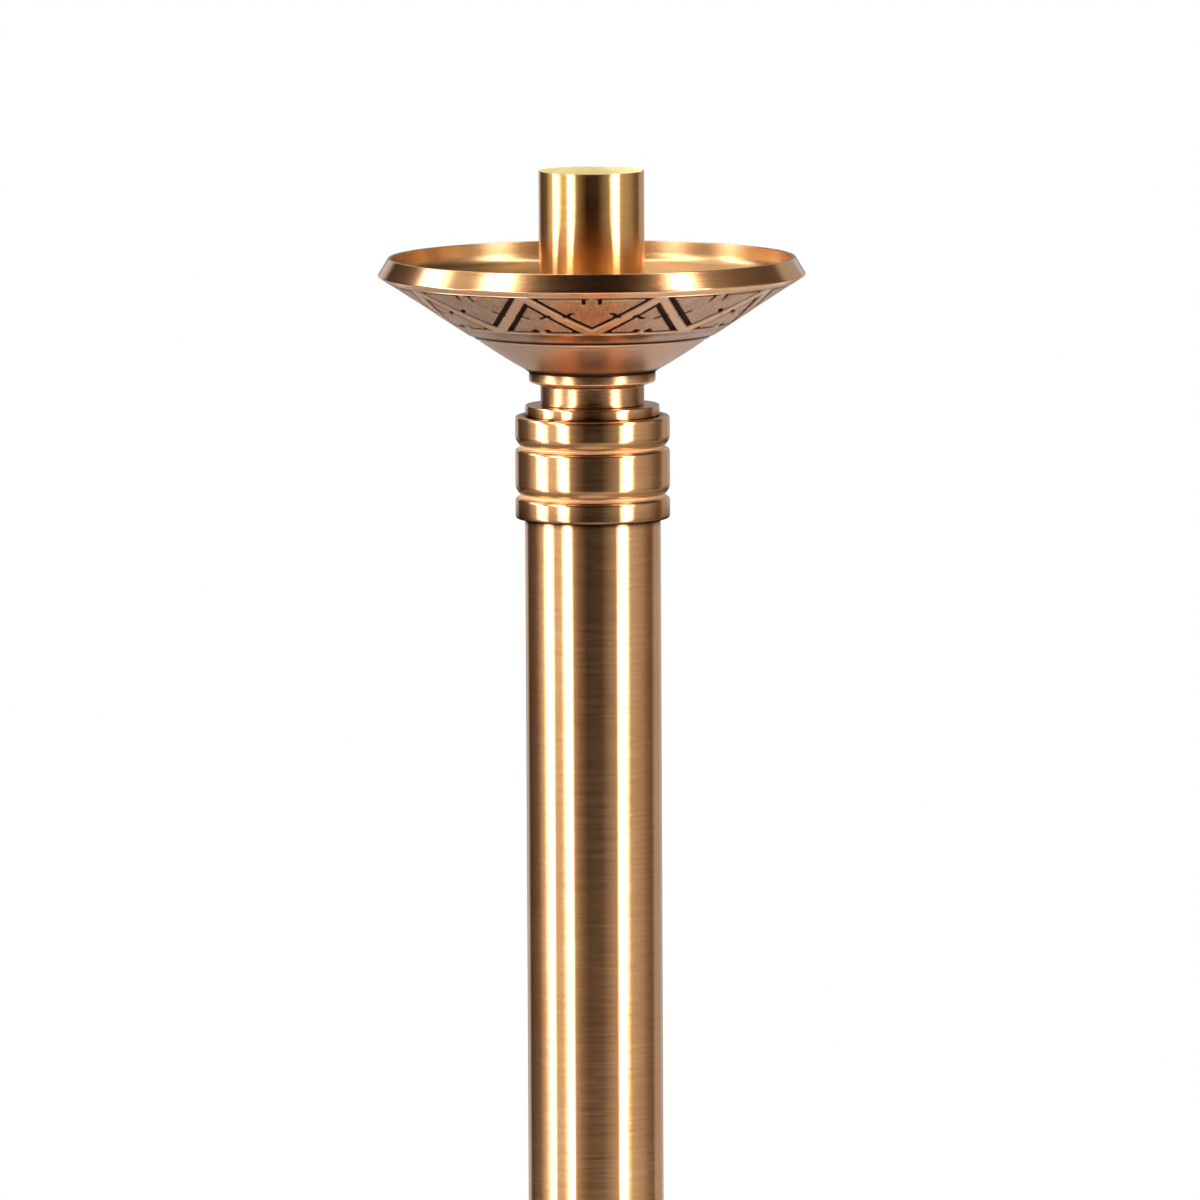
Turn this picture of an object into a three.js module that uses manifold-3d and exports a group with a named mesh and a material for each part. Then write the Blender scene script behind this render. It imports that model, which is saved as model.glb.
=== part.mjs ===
// A church floor candlestick, 44 in. (1118 mm) tall, in satin bronze: a round weighted foot, a plain
// column between two turned collars, a waisted neck, a cast drip pan and a brass socket for a
// 1-1/2 in. candle. One steel rod runs from under the foot to the socket and draws the stack together.
//
// Units are millimetres, +Z is up, and the origin is on the floor at the centre of the foot.
// The front faces -Y. Every piece is built from its own seat upwards and then stacked.

import * as THREE from "three";
import { mergeVertices } from "three/addons/utils/BufferGeometryUtils.js";
import Module from "manifold-3d";

const wasm = await Module();
wasm.setup();

// Clearances
const SEAM = 0.2; // between two pieces that seat on each other
const SLIP = 0.15; // radial, round a piece that sits in a bore
const THREAD = 0.2; // radial, round a threaded rod or screw

// Candle socket: a drawn brass tube with a turned plug brazed into its lower end
const CANDLE_DIAMETER = 38.1;
const SOCKET_WALL = 0.7;
const SOCKET_ABOVE_LIP = 32.4;
const SOCKET_FLOOR_THICKNESS = 11;
const SOCKET_THREAD_DEPTH = 7.5;
const DRILL_POINT = 1; // of the cone that a drill leaves at the end of a hole

// Drip pan: radii from the axis, heights from its seat on the neck
const PAN_RADIUS = 80.1;
const PAN_HEIGHT = 42.5;
const PAN_WALL = 2.6;
const PAN_SEAT_RADIUS = 24.8;
const PAN_SEAT_CHAMFER = 0.5;
const PAN_FLOOR_THICKNESS = 5;
const LIP_WIDTH = 1.2;
const RIM_BEVEL = 3.9; // radial
const RIM_BEVEL_HEIGHT = 6.6;
const RIM_LEDGE = 2.3; // radial, from the rim's edge to the ornament
const RIM_LEDGE_DROP = 1.54;
const RIM_INSIDE_TAPER = 0.15;
const PAN_BAND_INNER_RADIUS = 46;
const PAN_BAND_DROP = 20.76;
const PAN_CONE_STEP = 0.55; // of the plain cone under the ornament
const PAN_CONE_BULGE = 0.4;

// Neck: a waisted spool between the capital and the pan
const NECK_RING_RADIUS = 23.7;
const NECK_RING_TAPER = 0.7;
const NECK_RING_HEIGHT = 3.6;
const NECK_CHAMFER_HEIGHT = 1.8;
const NECK_WAIST_RADIUS = 19.4;
const NECK_WAIST_HEIGHT = 7;
const SPIGOT_RADIUS = 14;
const SPIGOT_HEIGHT = 6;

// Collars: the capital at the top of the column, and the same turning upside down at its foot
const COLLAR_RADIUS = 28.95;
const COLLAR_STEP_RADIUS = 25.15;
const COLLAR_STEP_HEIGHT = 4;
const COLLAR_TOP_RING_HEIGHT = 7.3;
const COLLAR_DRUM_HEIGHT = 12.1;
const COLLAR_RING_HEIGHT = 6.8; // the ring next to the column
const COLLAR_GROOVE_DEPTH = 2.15;
const COLLAR_GROOVE_UPPER_FLANK = 2.8;
const COLLAR_GROOVE_LOWER_FLANK = 3.4;
const COLLAR_SOCKET_DEPTH = 22; // how far the column enters

// Column: drawn tube, 2 in. outside
const COLUMN_DIAMETER = 50.8;
const COLUMN_WALL = 1.6;
const COLUMN_SHOWN = 846.3; // length between the two collars

// Foot: a cast shell. Radii from the axis, heights from its flat rim underneath
const FOOT_RADIUS = 139.7;
const FOOT_RIM_HEIGHT = 10;
const FOOT_BEVEL = 6;
const FOOT_BEVEL_HEIGHT = 8;
const FOOT_LEDGE = 4;
const FOOT_LEDGE_RISE = 2;
const FOOT_BAND_INNER_RADIUS = 84;
const FOOT_BAND_RISE = 25;
const FOOT_COVE_RISE = 44;
const COVE_CORNER_ACROSS = 0.18; // share of the cove's width, from the seat to the corner it rounds
const COVE_CORNER_UP = 0.3; // share of its rise
const FOOT_SEAT_RADIUS = 35;
const FOOT_SEAT_HEIGHT = 4;
const FOOT_WALL = 6;
const FOOT_CROWN_THICKNESS = 14;
const PLATE_RECESS = 15;
const PLATE_LEDGE = 8;

// Ornament: chevron straps round the pan and the foot, with a triangular panel in every bay
const REPEATS = 9;
const RELIEF = 1.3;
const PAN_STRAP = 4.2;
const PAN_CHANNEL = 1.8;
const PAN_UPPER_BORDER = 2;
const PAN_LOWER_BORDER = 8.2;
const FOOT_STRAP = 6.4;
const FOOT_CHANNEL = 2.8;
const FOOT_OUTER_BORDER = 3;
const FOOT_INNER_BORDER = 8;
const CHANNEL_RISE = 0.6; // of the cutters above the surface
const BAND_GROOVE = 1.2; // the turned line between ornament and plain metal

// Steel rod, nuts, washers and plate
const ROD_DIAMETER = 9.5;
const ROD_CHAMFER = 0.8;
const ROD_TAIL = 2; // below the lower nut
const NUT_FLATS = 16;
const NUT_HEIGHT = 8;
const JAM_NUT_HEIGHT = 5.5;
const WASHER_DIAMETER = 20;
const WASHER_THICKNESS = 1.6;
const COUNTERBORE_CLEARANCE = 0.4;
const PLATE_THICKNESS = 3;
const PLATE_CLEARANCE = 1;

// Cast-iron ballast, which follows the shell over it
const BALLAST_MARGIN = 12;
const BALLAST_HEADROOM = 6;
const BALLAST_BORE_CLEARANCE = 1.5;

// Bumpers under the foot, each held by a screw
const BUMPERS = 4;
const BUMPER_RADIUS = 8;
const BUMPER_TAPER = 1;
const BUMPER_HEIGHT = 5;
const BUMPER_INSET = 2;
const SCREW_DIAMETER = 4;
const SCREW_LENGTH = 10; // below the head
const SCREW_HEAD_DIAMETER = 7.2;
const SCREW_HEAD_HEIGHT = 2.1;
const SCREW_HEAD_RECESS = 2.6;
const SCREW_HEAD_CLEARANCE = 0.3;

// Facets round each kind of piece, and steps along curves
const CAST_FACETS = 44;
const COLLAR_FACETS = 32;
const ROD_FACETS = 16;
const BUMPER_FACETS = 12;
const SCREW_FACETS = 8;
const COVE_STEPS = 5;

// Heights of the seats, worked out from the floor up
const grooveHeight = COLLAR_GROOVE_UPPER_FLANK + COLLAR_GROOVE_LOWER_FLANK;
const collarHeight =
  COLLAR_RING_HEIGHT + COLLAR_DRUM_HEIGHT + COLLAR_TOP_RING_HEIGHT + COLLAR_STEP_HEIGHT + 2 * grooveHeight;
const footBandZ = FOOT_RIM_HEIGHT + FOOT_BEVEL_HEIGHT + FOOT_LEDGE_RISE;
const footHeight = footBandZ + FOOT_BAND_RISE + FOOT_COVE_RISE + FOOT_SEAT_HEIGHT;
const footZ = BUMPER_HEIGHT + SEAM;
const footCollarZ = footZ + footHeight + SEAM;
const columnShownZ = footCollarZ + collarHeight;
const capitalZ = columnShownZ + COLUMN_SHOWN;
const neckHeight = NECK_WAIST_HEIGHT + NECK_CHAMFER_HEIGHT + NECK_RING_HEIGHT;
const neckZ = capitalZ + collarHeight + SEAM;
const panZ = neckZ + neckHeight + SEAM;
const socketZ = panZ + PAN_FLOOR_THICKNESS + SEAM;
const socketLength = PAN_HEIGHT + SOCKET_ABOVE_LIP - PAN_FLOOR_THICKNESS - SEAM;
const plateZ = footZ + PLATE_RECESS - SEAM - PLATE_THICKNESS;
const footWasherZ = plateZ - SEAM - WASHER_THICKNESS;
const footNutZ = footWasherZ - SEAM - NUT_HEIGHT;
const rodZ = footNutZ - ROD_TAIL;
const neckNutZ = panZ - 2 * SEAM - JAM_NUT_HEIGHT;
const neckWasherZ = neckNutZ - SEAM - WASHER_THICKNESS;

// Radii that several pieces share
const rodRadius = ROD_DIAMETER / 2;
const rodBore = rodRadius + THREAD;
const spigotBore = SPIGOT_RADIUS + SLIP;
const bumperCircle = FOOT_RADIUS - BUMPER_INSET - BUMPER_RADIUS;
const footInside = bumperCircle - BUMPER_RADIUS - BUMPER_INSET;
const ledgeRadius = footInside - PLATE_LEDGE;

const metal = (color, roughness) => new THREE.MeshStandardMaterial({ color, roughness, metalness: 1 });
const satinBronze = metal(0xc98f5e, 0.3);
const castBronze = metal(0xb8825c, 0.42);
const satinBrass = metal(0xcf9a4a, 0.25);
const steel = metal(0xa9abad, 0.4);
const castIron = metal(0x4a4a4c, 0.8);
const rubber = new THREE.MeshStandardMaterial({ color: 0x232323, roughness: 0.85, metalness: 0 });

// A profile's corners are [radius, height] or [radius, height, chamfer]. A chamfer takes its length off
// both sides of the corner, and the shorter side limits it.
function chamfered(corners) {
  return corners.flatMap(([x, y, chamfer = 0], i) => {
    const corner = new THREE.Vector2(x, y);
    if (!chamfer) return [corner];
    const neighbours = [corners.at(i - 1), corners[(i + 1) % corners.length]];
    return neighbours.map(([nextX, nextY]) => {
      const side = new THREE.Vector2(nextX, nextY).sub(corner);
      return side.setLength(Math.min(chamfer, side.length() / 2.1)).add(corner);
    });
  });
}

// Positions only, with shared corners and no collapsed triangles.
function welded(geometry) {
  const bare = new THREE.BufferGeometry();
  bare.setAttribute("position", geometry.getAttribute("position"));
  if (geometry.index) bare.setIndex(geometry.index);
  const merged = mergeVertices(bare, 1e-3);
  const kept = [];
  for (let i = 0; i < merged.index.count; i += 3) {
    const [a, b, c] = merged.index.array.slice(i, i + 3);
    if (a !== b && b !== c && c !== a) kept.push(a, b, c);
  }
  merged.setIndex(kept);
  return merged;
}

// A solid of revolution about Z. The profile closes on itself, along the axis where it starts there.
function turned(corners, facets) {
  const outline = chamfered(corners);
  if (THREE.ShapeUtils.isClockWise(outline)) outline.reverse();
  outline.push(outline[0].clone());
  const lathe = new THREE.LatheGeometry(outline, facets);
  lathe.rotateX(Math.PI / 2);
  return welded(lathe);
}

function solid(geometry) {
  return new wasm.Manifold(
    new wasm.Mesh({
      numProp: 3,
      vertProperties: new Float32Array(geometry.getAttribute("position").array),
      triVerts: new Uint32Array(geometry.index.array),
    }),
  );
}

function geometryOf(manifold) {
  const mesh = manifold.getMesh();
  const geometry = new THREE.BufferGeometry();
  geometry.setAttribute("position", new THREE.BufferAttribute(mesh.vertProperties, 3));
  geometry.setIndex(new THREE.BufferAttribute(mesh.triVerts, 1));
  return geometry;
}

// A band of a cone between two [radius, height] ends, the outer one first. Places on it are `down` the
// slope from the outer end and `out` from the surface, and `at` adds an angle round from the front.
// Unrolled flat, the band is part of a ring: `reach` is its outer radius, and angles shrink by `flatness`.
function coneBand(outer, inner) {
  const slope = new THREE.Vector2(inner[0] - outer[0], inner[1] - outer[1]);
  const length = slope.length();
  slope.normalize();
  const facesUp = slope.y > 0;
  const normal = new THREE.Vector2(Math.abs(slope.y), facesUp ? -slope.x : slope.x);
  const corner = (down, out = 0) => [
    outer[0] + slope.x * down + normal.x * out,
    outer[1] + slope.y * down + normal.y * out,
  ];
  const downTo = (radius, out) => (radius - outer[0] - normal.x * out) / slope.x;
  const downToHeight = (height, out) => (height - outer[1] - normal.y * out) / slope.y;
  const at = (angle, down, out) => {
    const [r, z] = corner(down, out);
    return [r * Math.sin(angle), -r * Math.cos(angle), z];
  };
  const flatness = -slope.x;
  return { length, facesUp, corner, downTo, downToHeight, at, flatness, reach: outer[0] / flatness };
}

// The cutter for one V-shaped channel, along three rows of [angle, down] points: its two edges, above
// the band's surface, and its floor.
function channelCutter(band, first, second, floor) {
  const levels = [CHANNEL_RISE, CHANNEL_RISE, -RELIEF];
  const positions = [first, second, floor].flatMap((row, i) =>
    row.flatMap(([angle, down]) => band.at(angle, down, levels[i])),
  );
  const count = first.length;
  const index = [];
  for (let side = 0; side < 3; side++) {
    const from = side * count;
    const to = ((side + 1) % 3) * count;
    for (let i = 0; i + 1 < count; i++) {
      index.push(from + i, to + i, to + i + 1, from + i, to + i + 1, from + i + 1);
    }
  }
  index.push(0, 2 * count, count);
  index.push(count - 1, 2 * count - 1, 3 * count - 1);
  const geometry = new THREE.BufferGeometry();
  geometry.setAttribute("position", new THREE.Float32BufferAttribute(positions, 3));
  geometry.setIndex(index);
  return solid(geometry);
}

// The outline of a panel, a distance inside its straps and border, as [angle, down] points from one side
// of its stem round to the other. Its tip points inwards or outwards. On the unrolled cone its legs are
// straight. Its long side and legs are divided so that they follow the cone.
function panelOutline(field, inwards, strap, inset) {
  const halfBay = (Math.PI / REPEATS) * field.flatness;
  const inner = field.reach - field.length;
  const [tipReach, baseReach] = inwards ? [inner, field.reach] : [field.reach, inner];
  const tipCorner = new THREE.Vector2(0, tipReach);
  const baseCorner = new THREE.Vector2(Math.sin(halfBay), Math.cos(halfBay)).multiplyScalar(baseReach);
  const leg = baseCorner.sub(tipCorner).normalize();
  const inside = new THREE.Vector2(-leg.y, leg.x).multiplyScalar(inwards ? 1 : -1);
  const start = tipCorner.addScaledVector(inside, strap / 2 + inset);
  const tip = start.clone().addScaledVector(leg, -start.x / leg.x);
  const base = inwards ? baseReach - inset : baseReach + inset;
  const reachAlong = start.dot(leg);
  const halfChord = Math.sqrt(reachAlong ** 2 - start.lengthSq() + base ** 2);
  const side = start.clone().addScaledVector(leg, (inwards ? halfChord : -halfChord) - reachAlong);
  const place = ({ x, y }) => [Math.atan2(x, y) / field.flatness, field.reach - Math.hypot(x, y)];
  const [sideAngle, baseDown] = place(side);
  const stem = strap / 2 / (baseReach * field.flatness);
  const half = [
    [stem, baseDown],
    [(stem + sideAngle) / 2, baseDown],
    [sideAngle, baseDown],
    place(side.add(tip).multiplyScalar(0.5)),
  ];
  const mirrored = half.map(([angle, down]) => [-angle, down]).reverse();
  return [...half, place(tip), ...mirrored];
}

// The channels between straps and panels. The straps zigzag from one border of the field to the other.
// Each panel is the triangle left between two straps, and its channel goes all round it but for a stem
// that ties the middle of its long side to the border. Panels point inwards and outwards by turns.
function chevronChannels(field, strap, channel) {
  const flare = (channel / 2) * (1 + CHANNEL_RISE / RELIEF);
  const cutters = Array.from({ length: 2 * REPEATS }, (_, bay) => {
    const inwards = bay % 2 === 0;
    const row = (inset) =>
      panelOutline(field, inwards, strap, inset).map(([angle, down]) => [
        (bay * Math.PI) / REPEATS + angle,
        down,
      ]);
    const edges = [row(channel / 2 - flare), row(channel / 2 + flare)];
    const [first, second] = inwards === field.facesUp ? edges.toReversed() : edges;
    return channelCutter(field, first, second, row(channel / 2));
  });
  return wasm.Manifold.union(cutters);
}

// An ornamental band with its two borders: the profile's corners, and the channels to cut.
function ornament(band, outerBorder, innerBorder, strap, channel) {
  const field = coneBand(band.corner(outerBorder), band.corner(band.length - innerBorder));
  const corners = [
    band.corner(0),
    band.corner(band.length - BAND_GROOVE),
    band.corner(band.length - BAND_GROOVE / 2, -BAND_GROOVE),
  ];
  return { corners, channels: chevronChannels(field, strap, channel) };
}

// Collar: a ring round the column, a groove, a drum, a groove, a ring and a step. The column enters
// from below and a spigot from above, and the web between them has a hole for the rod.
function collar() {
  const grooveRadius = COLLAR_RADIUS - COLLAR_GROOVE_DEPTH;
  const columnBore = COLUMN_DIAMETER / 2 + SLIP;
  const drumZ = COLLAR_RING_HEIGHT + grooveHeight;
  const topRingZ = drumZ + COLLAR_DRUM_HEIGHT + grooveHeight;
  const stepZ = topRingZ + COLLAR_TOP_RING_HEIGHT;
  const webTop = collarHeight - SPIGOT_HEIGHT - SEAM;
  const webBottom = COLLAR_SOCKET_DEPTH + SEAM;
  return turned(
    [
      [columnBore, 0],
      [COLLAR_RADIUS, 0, 1.4],
      [COLLAR_RADIUS, COLLAR_RING_HEIGHT],
      [grooveRadius, COLLAR_RING_HEIGHT + COLLAR_GROOVE_LOWER_FLANK],
      [COLLAR_RADIUS, drumZ],
      [COLLAR_RADIUS, drumZ + COLLAR_DRUM_HEIGHT],
      [grooveRadius, drumZ + COLLAR_DRUM_HEIGHT + COLLAR_GROOVE_LOWER_FLANK],
      [COLLAR_RADIUS, topRingZ],
      [COLLAR_RADIUS, stepZ, 1.8],
      [COLLAR_STEP_RADIUS, stepZ],
      [COLLAR_STEP_RADIUS, collarHeight, 0.6],
      [spigotBore, collarHeight],
      [spigotBore, webTop],
      [rodBore, webTop],
      [rodBore, webBottom],
      [columnBore, webBottom],
    ],
    COLLAR_FACETS,
  );
}

function columnTube() {
  const outside = COLUMN_DIAMETER / 2;
  const length = COLUMN_SHOWN + 2 * COLLAR_SOCKET_DEPTH;
  return turned(
    [
      [outside, 0],
      [outside, length],
      [outside - COLUMN_WALL, length],
      [outside - COLUMN_WALL, 0],
    ],
    COLLAR_FACETS,
  );
}

// Neck spool, with a counterbore on top that hides the jam nut and its washer.
function neckSpool() {
  const counterbore = WASHER_DIAMETER / 2 + COUNTERBORE_CLEARANCE;
  const counterboreZ = neckWasherZ - SEAM - neckZ;
  return turned(
    [
      [rodBore, -SPIGOT_HEIGHT],
      [SPIGOT_RADIUS, -SPIGOT_HEIGHT],
      [SPIGOT_RADIUS, 0],
      [NECK_WAIST_RADIUS, 0],
      [NECK_WAIST_RADIUS, NECK_WAIST_HEIGHT],
      [NECK_RING_RADIUS - NECK_RING_TAPER, NECK_WAIST_HEIGHT + NECK_CHAMFER_HEIGHT],
      [NECK_RING_RADIUS, neckHeight, 0.4],
      [counterbore, neckHeight],
      [counterbore, counterboreZ],
      [rodBore, counterboreZ],
    ],
    COLLAR_FACETS,
  );
}

// Drip pan: a rim with a bevelled edge, an ornamented cone, a plain cone, and a dish inside.
function dripPan() {
  const edgeZ = PAN_HEIGHT - RIM_BEVEL_HEIGHT;
  const bandOuter = [PAN_RADIUS - RIM_LEDGE, edgeZ - RIM_LEDGE_DROP];
  const bandInner = [PAN_BAND_INNER_RADIUS, bandOuter[1] - PAN_BAND_DROP];
  const band = coneBand(bandOuter, bandInner);
  const { corners, channels } = ornament(band, PAN_UPPER_BORDER, PAN_LOWER_BORDER, PAN_STRAP, PAN_CHANNEL);
  const seatEdge = [PAN_SEAT_RADIUS, PAN_SEAT_CHAMFER];
  const lowerCone = coneBand(band.corner(band.length, -PAN_CONE_STEP), seatEdge);
  const lipRadius = PAN_RADIUS - RIM_BEVEL;
  const wallRadius = lipRadius - LIP_WIDTH;
  const dishEdge = band.downTo(wallRadius - RIM_INSIDE_TAPER, -PAN_WALL);
  const dishFloor = lowerCone.downToHeight(PAN_FLOOR_THICKNESS, -PAN_WALL);
  const shell = turned(
    [
      [rodBore, 0],
      [PAN_SEAT_RADIUS - PAN_SEAT_CHAMFER, 0],
      seatEdge,
      lowerCone.corner(lowerCone.length / 2, PAN_CONE_BULGE),
      lowerCone.corner(BAND_GROOVE / 2),
      ...corners.reverse(),
      [PAN_RADIUS, edgeZ],
      [lipRadius, PAN_HEIGHT],
      [wallRadius, PAN_HEIGHT],
      [...band.corner(dishEdge, -PAN_WALL), 3],
      band.corner(band.length, -PAN_WALL),
      lowerCone.corner(dishFloor, -PAN_WALL),
      [rodBore, PAN_FLOOR_THICKNESS],
    ],
    CAST_FACETS,
  );
  return geometryOf(solid(shell).subtract(channels));
}

function socketTube() {
  const inside = CANDLE_DIAMETER / 2;
  const outside = inside + SOCKET_WALL;
  return turned(
    [
      [inside, 0],
      [outside, 0],
      [outside, socketLength, 0.3],
      [inside, socketLength],
    ],
    COLLAR_FACETS,
  );
}

// The socket's plug: the candle stands on it, and the rod screws into it from below.
function socketFloor() {
  const radius = CANDLE_DIAMETER / 2 - SLIP;
  return turned(
    [
      [rodBore, 0],
      [radius, 0],
      [radius, SOCKET_FLOOR_THICKNESS, 0.5],
      [0, SOCKET_FLOOR_THICKNESS],
      [0, SOCKET_THREAD_DEPTH + DRILL_POINT],
      [rodBore, SOCKET_THREAD_DEPTH],
    ],
    COLLAR_FACETS,
  );
}

// Foot shell: rim, bevel, ornamented cone, and a cove up to the seat of the lower collar. Inside it has
// a ledge for the plate and an even wall, and a hole for each bumper screw.
function footShell() {
  const band = footBand();
  const { corners, channels } = ornament(band, FOOT_OUTER_BORDER, FOOT_INNER_BORDER, FOOT_STRAP, FOOT_CHANNEL);
  const cove = footCove();
  const coveInside = cove.inside.filter(([, z]) => z < footHeight - FOOT_CROWN_THICKNESS);
  const shell = turned(
    [
      [footInside, 0],
      [FOOT_RADIUS, 0, 0.8],
      [FOOT_RADIUS, FOOT_RIM_HEIGHT, 0.8],
      [FOOT_RADIUS - FOOT_BEVEL, FOOT_RIM_HEIGHT + FOOT_BEVEL_HEIGHT],
      ...corners,
      ...cove.outside,
      [FOOT_SEAT_RADIUS, footHeight, 1],
      [SPIGOT_RADIUS, footHeight],
      [SPIGOT_RADIUS, footHeight + SPIGOT_HEIGHT],
      [rodBore, footHeight + SPIGOT_HEIGHT],
      [rodBore, footHeight - FOOT_CROWN_THICKNESS],
      [coveInside.at(-1)[0], footHeight - FOOT_CROWN_THICKNESS],
      ...coveInside.reverse(),
      band.corner(band.downTo(ledgeRadius, -FOOT_WALL), -FOOT_WALL),
      [ledgeRadius, PLATE_RECESS],
      [footInside, PLATE_RECESS],
    ],
    CAST_FACETS,
  );
  const depth = SCREW_LENGTH - (BUMPER_HEIGHT - SCREW_HEAD_RECESS) + DRILL_POINT;
  const drill = turned(
    [
      [0, -DRILL_POINT],
      [SCREW_DIAMETER / 2 + THREAD, -DRILL_POINT],
      [SCREW_DIAMETER / 2 + THREAD, depth],
      [0, depth + DRILL_POINT],
    ],
    SCREW_FACETS,
  );
  const holes = bumperPlaces().map(([x, y]) => solid(drill).translate([x, y, 0]));
  return geometryOf(solid(shell).subtract(channels).subtract(wasm.Manifold.union(holes)));
}

function footBand() {
  return coneBand(
    [FOOT_RADIUS - FOOT_BEVEL - FOOT_LEDGE, footBandZ],
    [FOOT_BAND_INNER_RADIUS, footBandZ + FOOT_BAND_RISE],
  );
}

// The cove is part of a parabola that leaves the ornament at a low slope and ends upright. The inside
// is the same curve, a wall's thickness away along its normal.
function footCove() {
  const foot = new THREE.Vector2(FOOT_BAND_INNER_RADIUS - BAND_GROOVE / 2, footBandZ + FOOT_BAND_RISE);
  const top = new THREE.Vector2(FOOT_SEAT_RADIUS, footHeight - FOOT_SEAT_HEIGHT);
  const bend = new THREE.Vector2(
    THREE.MathUtils.lerp(top.x, foot.x, COVE_CORNER_ACROSS),
    THREE.MathUtils.lerp(foot.y, top.y, COVE_CORNER_UP),
  );
  const curve = new THREE.QuadraticBezierCurve(foot, bend, top);
  const steps = Array.from({ length: COVE_STEPS + 1 }, (_, i) => i / COVE_STEPS);
  const outside = steps.map((t) => curve.getPoint(t).toArray());
  const inside = steps.map((t) => {
    const along = curve.getTangent(t);
    return curve.getPoint(t).add(new THREE.Vector2(-along.y, along.x).multiplyScalar(FOOT_WALL)).toArray();
  });
  return { outside, inside };
}

function bumperPlaces() {
  return Array.from({ length: BUMPERS }, (_, i) => {
    const angle = ((i + 0.5) * 2 * Math.PI) / BUMPERS;
    return [bumperCircle * Math.cos(angle), bumperCircle * Math.sin(angle)];
  });
}

function bumper() {
  const bore = SCREW_DIAMETER / 2 + THREAD;
  const recess = SCREW_HEAD_DIAMETER / 2 + SCREW_HEAD_CLEARANCE;
  return turned(
    [
      [recess, 0],
      [BUMPER_RADIUS - BUMPER_TAPER, 0],
      [BUMPER_RADIUS, BUMPER_HEIGHT],
      [bore, BUMPER_HEIGHT],
      [bore, SCREW_HEAD_RECESS],
      [recess, SCREW_HEAD_RECESS],
    ],
    BUMPER_FACETS,
  );
}

// A screw with its head down.
function bumperScrew() {
  const shank = SCREW_DIAMETER / 2;
  return turned(
    [
      [0, 0],
      [SCREW_HEAD_DIAMETER / 2, 0],
      [SCREW_HEAD_DIAMETER / 2, SCREW_HEAD_HEIGHT],
      [shank, SCREW_HEAD_HEIGHT],
      [shank, SCREW_HEAD_HEIGHT + SCREW_LENGTH - DRILL_POINT],
      [0, SCREW_HEAD_HEIGHT + SCREW_LENGTH],
    ],
    SCREW_FACETS,
  );
}

function disc(outside, inside, thickness, facets) {
  return turned(
    [
      [inside, 0],
      [outside, 0],
      [outside, thickness],
      [inside, thickness],
    ],
    facets,
  );
}

// Ballast: its sloping top runs parallel to the underside of the shell.
function ballast() {
  const band = footBand();
  const radius = ledgeRadius - BALLAST_MARGIN;
  const below = -FOOT_WALL - BALLAST_HEADROOM;
  const base = PLATE_RECESS + SEAM;
  const edge = band.corner(band.downTo(radius, below), below);
  const top = band.corner(band.length, below);
  const bore = rodRadius + BALLAST_BORE_CLEARANCE;
  return turned(
    [
      [bore, 0],
      [radius, 0],
      [radius, edge[1] - base, 1],
      [top[0], top[1] - base, 2],
      [bore, top[1] - base],
    ],
    COLLAR_FACETS,
  );
}

// A hexagon nut: a prism cut to a turned blank, which chamfers its corners and gives it the hole.
function nut(height) {
  const corner = NUT_FLATS / Math.sqrt(3);
  const hexagon = new THREE.Shape(
    Array.from({ length: 6 }, (_, i) => {
      const angle = (i * Math.PI) / 3;
      return new THREE.Vector2(corner * Math.cos(angle), corner * Math.sin(angle));
    }),
  );
  const prism = new THREE.ExtrudeGeometry(hexagon, { depth: height, bevelEnabled: false });
  const chamfer = (corner - NUT_FLATS / 2) / 2;
  const blank = turned(
    [
      [rodBore, 0],
      [NUT_FLATS / 2, 0],
      [NUT_FLATS / 2 + 2 * chamfer, chamfer],
      [NUT_FLATS / 2 + 2 * chamfer, height - chamfer],
      [NUT_FLATS / 2, height],
      [rodBore, height],
    ],
    ROD_FACETS,
  );
  return geometryOf(solid(welded(prism)).intersect(solid(blank)));
}

function tieRod(length) {
  return turned(
    [
      [0, 0],
      [rodRadius - ROD_CHAMFER, 0],
      [rodRadius, ROD_CHAMFER],
      [rodRadius, length - ROD_CHAMFER],
      [rodRadius - ROD_CHAMFER, length],
      [0, length],
    ],
    ROD_FACETS,
  );
}

function piece(name, geometry, material, x, y, z) {
  const mesh = new THREE.Mesh(geometry, material);
  mesh.name = name;
  mesh.position.set(x, y, z);
  return mesh;
}

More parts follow.
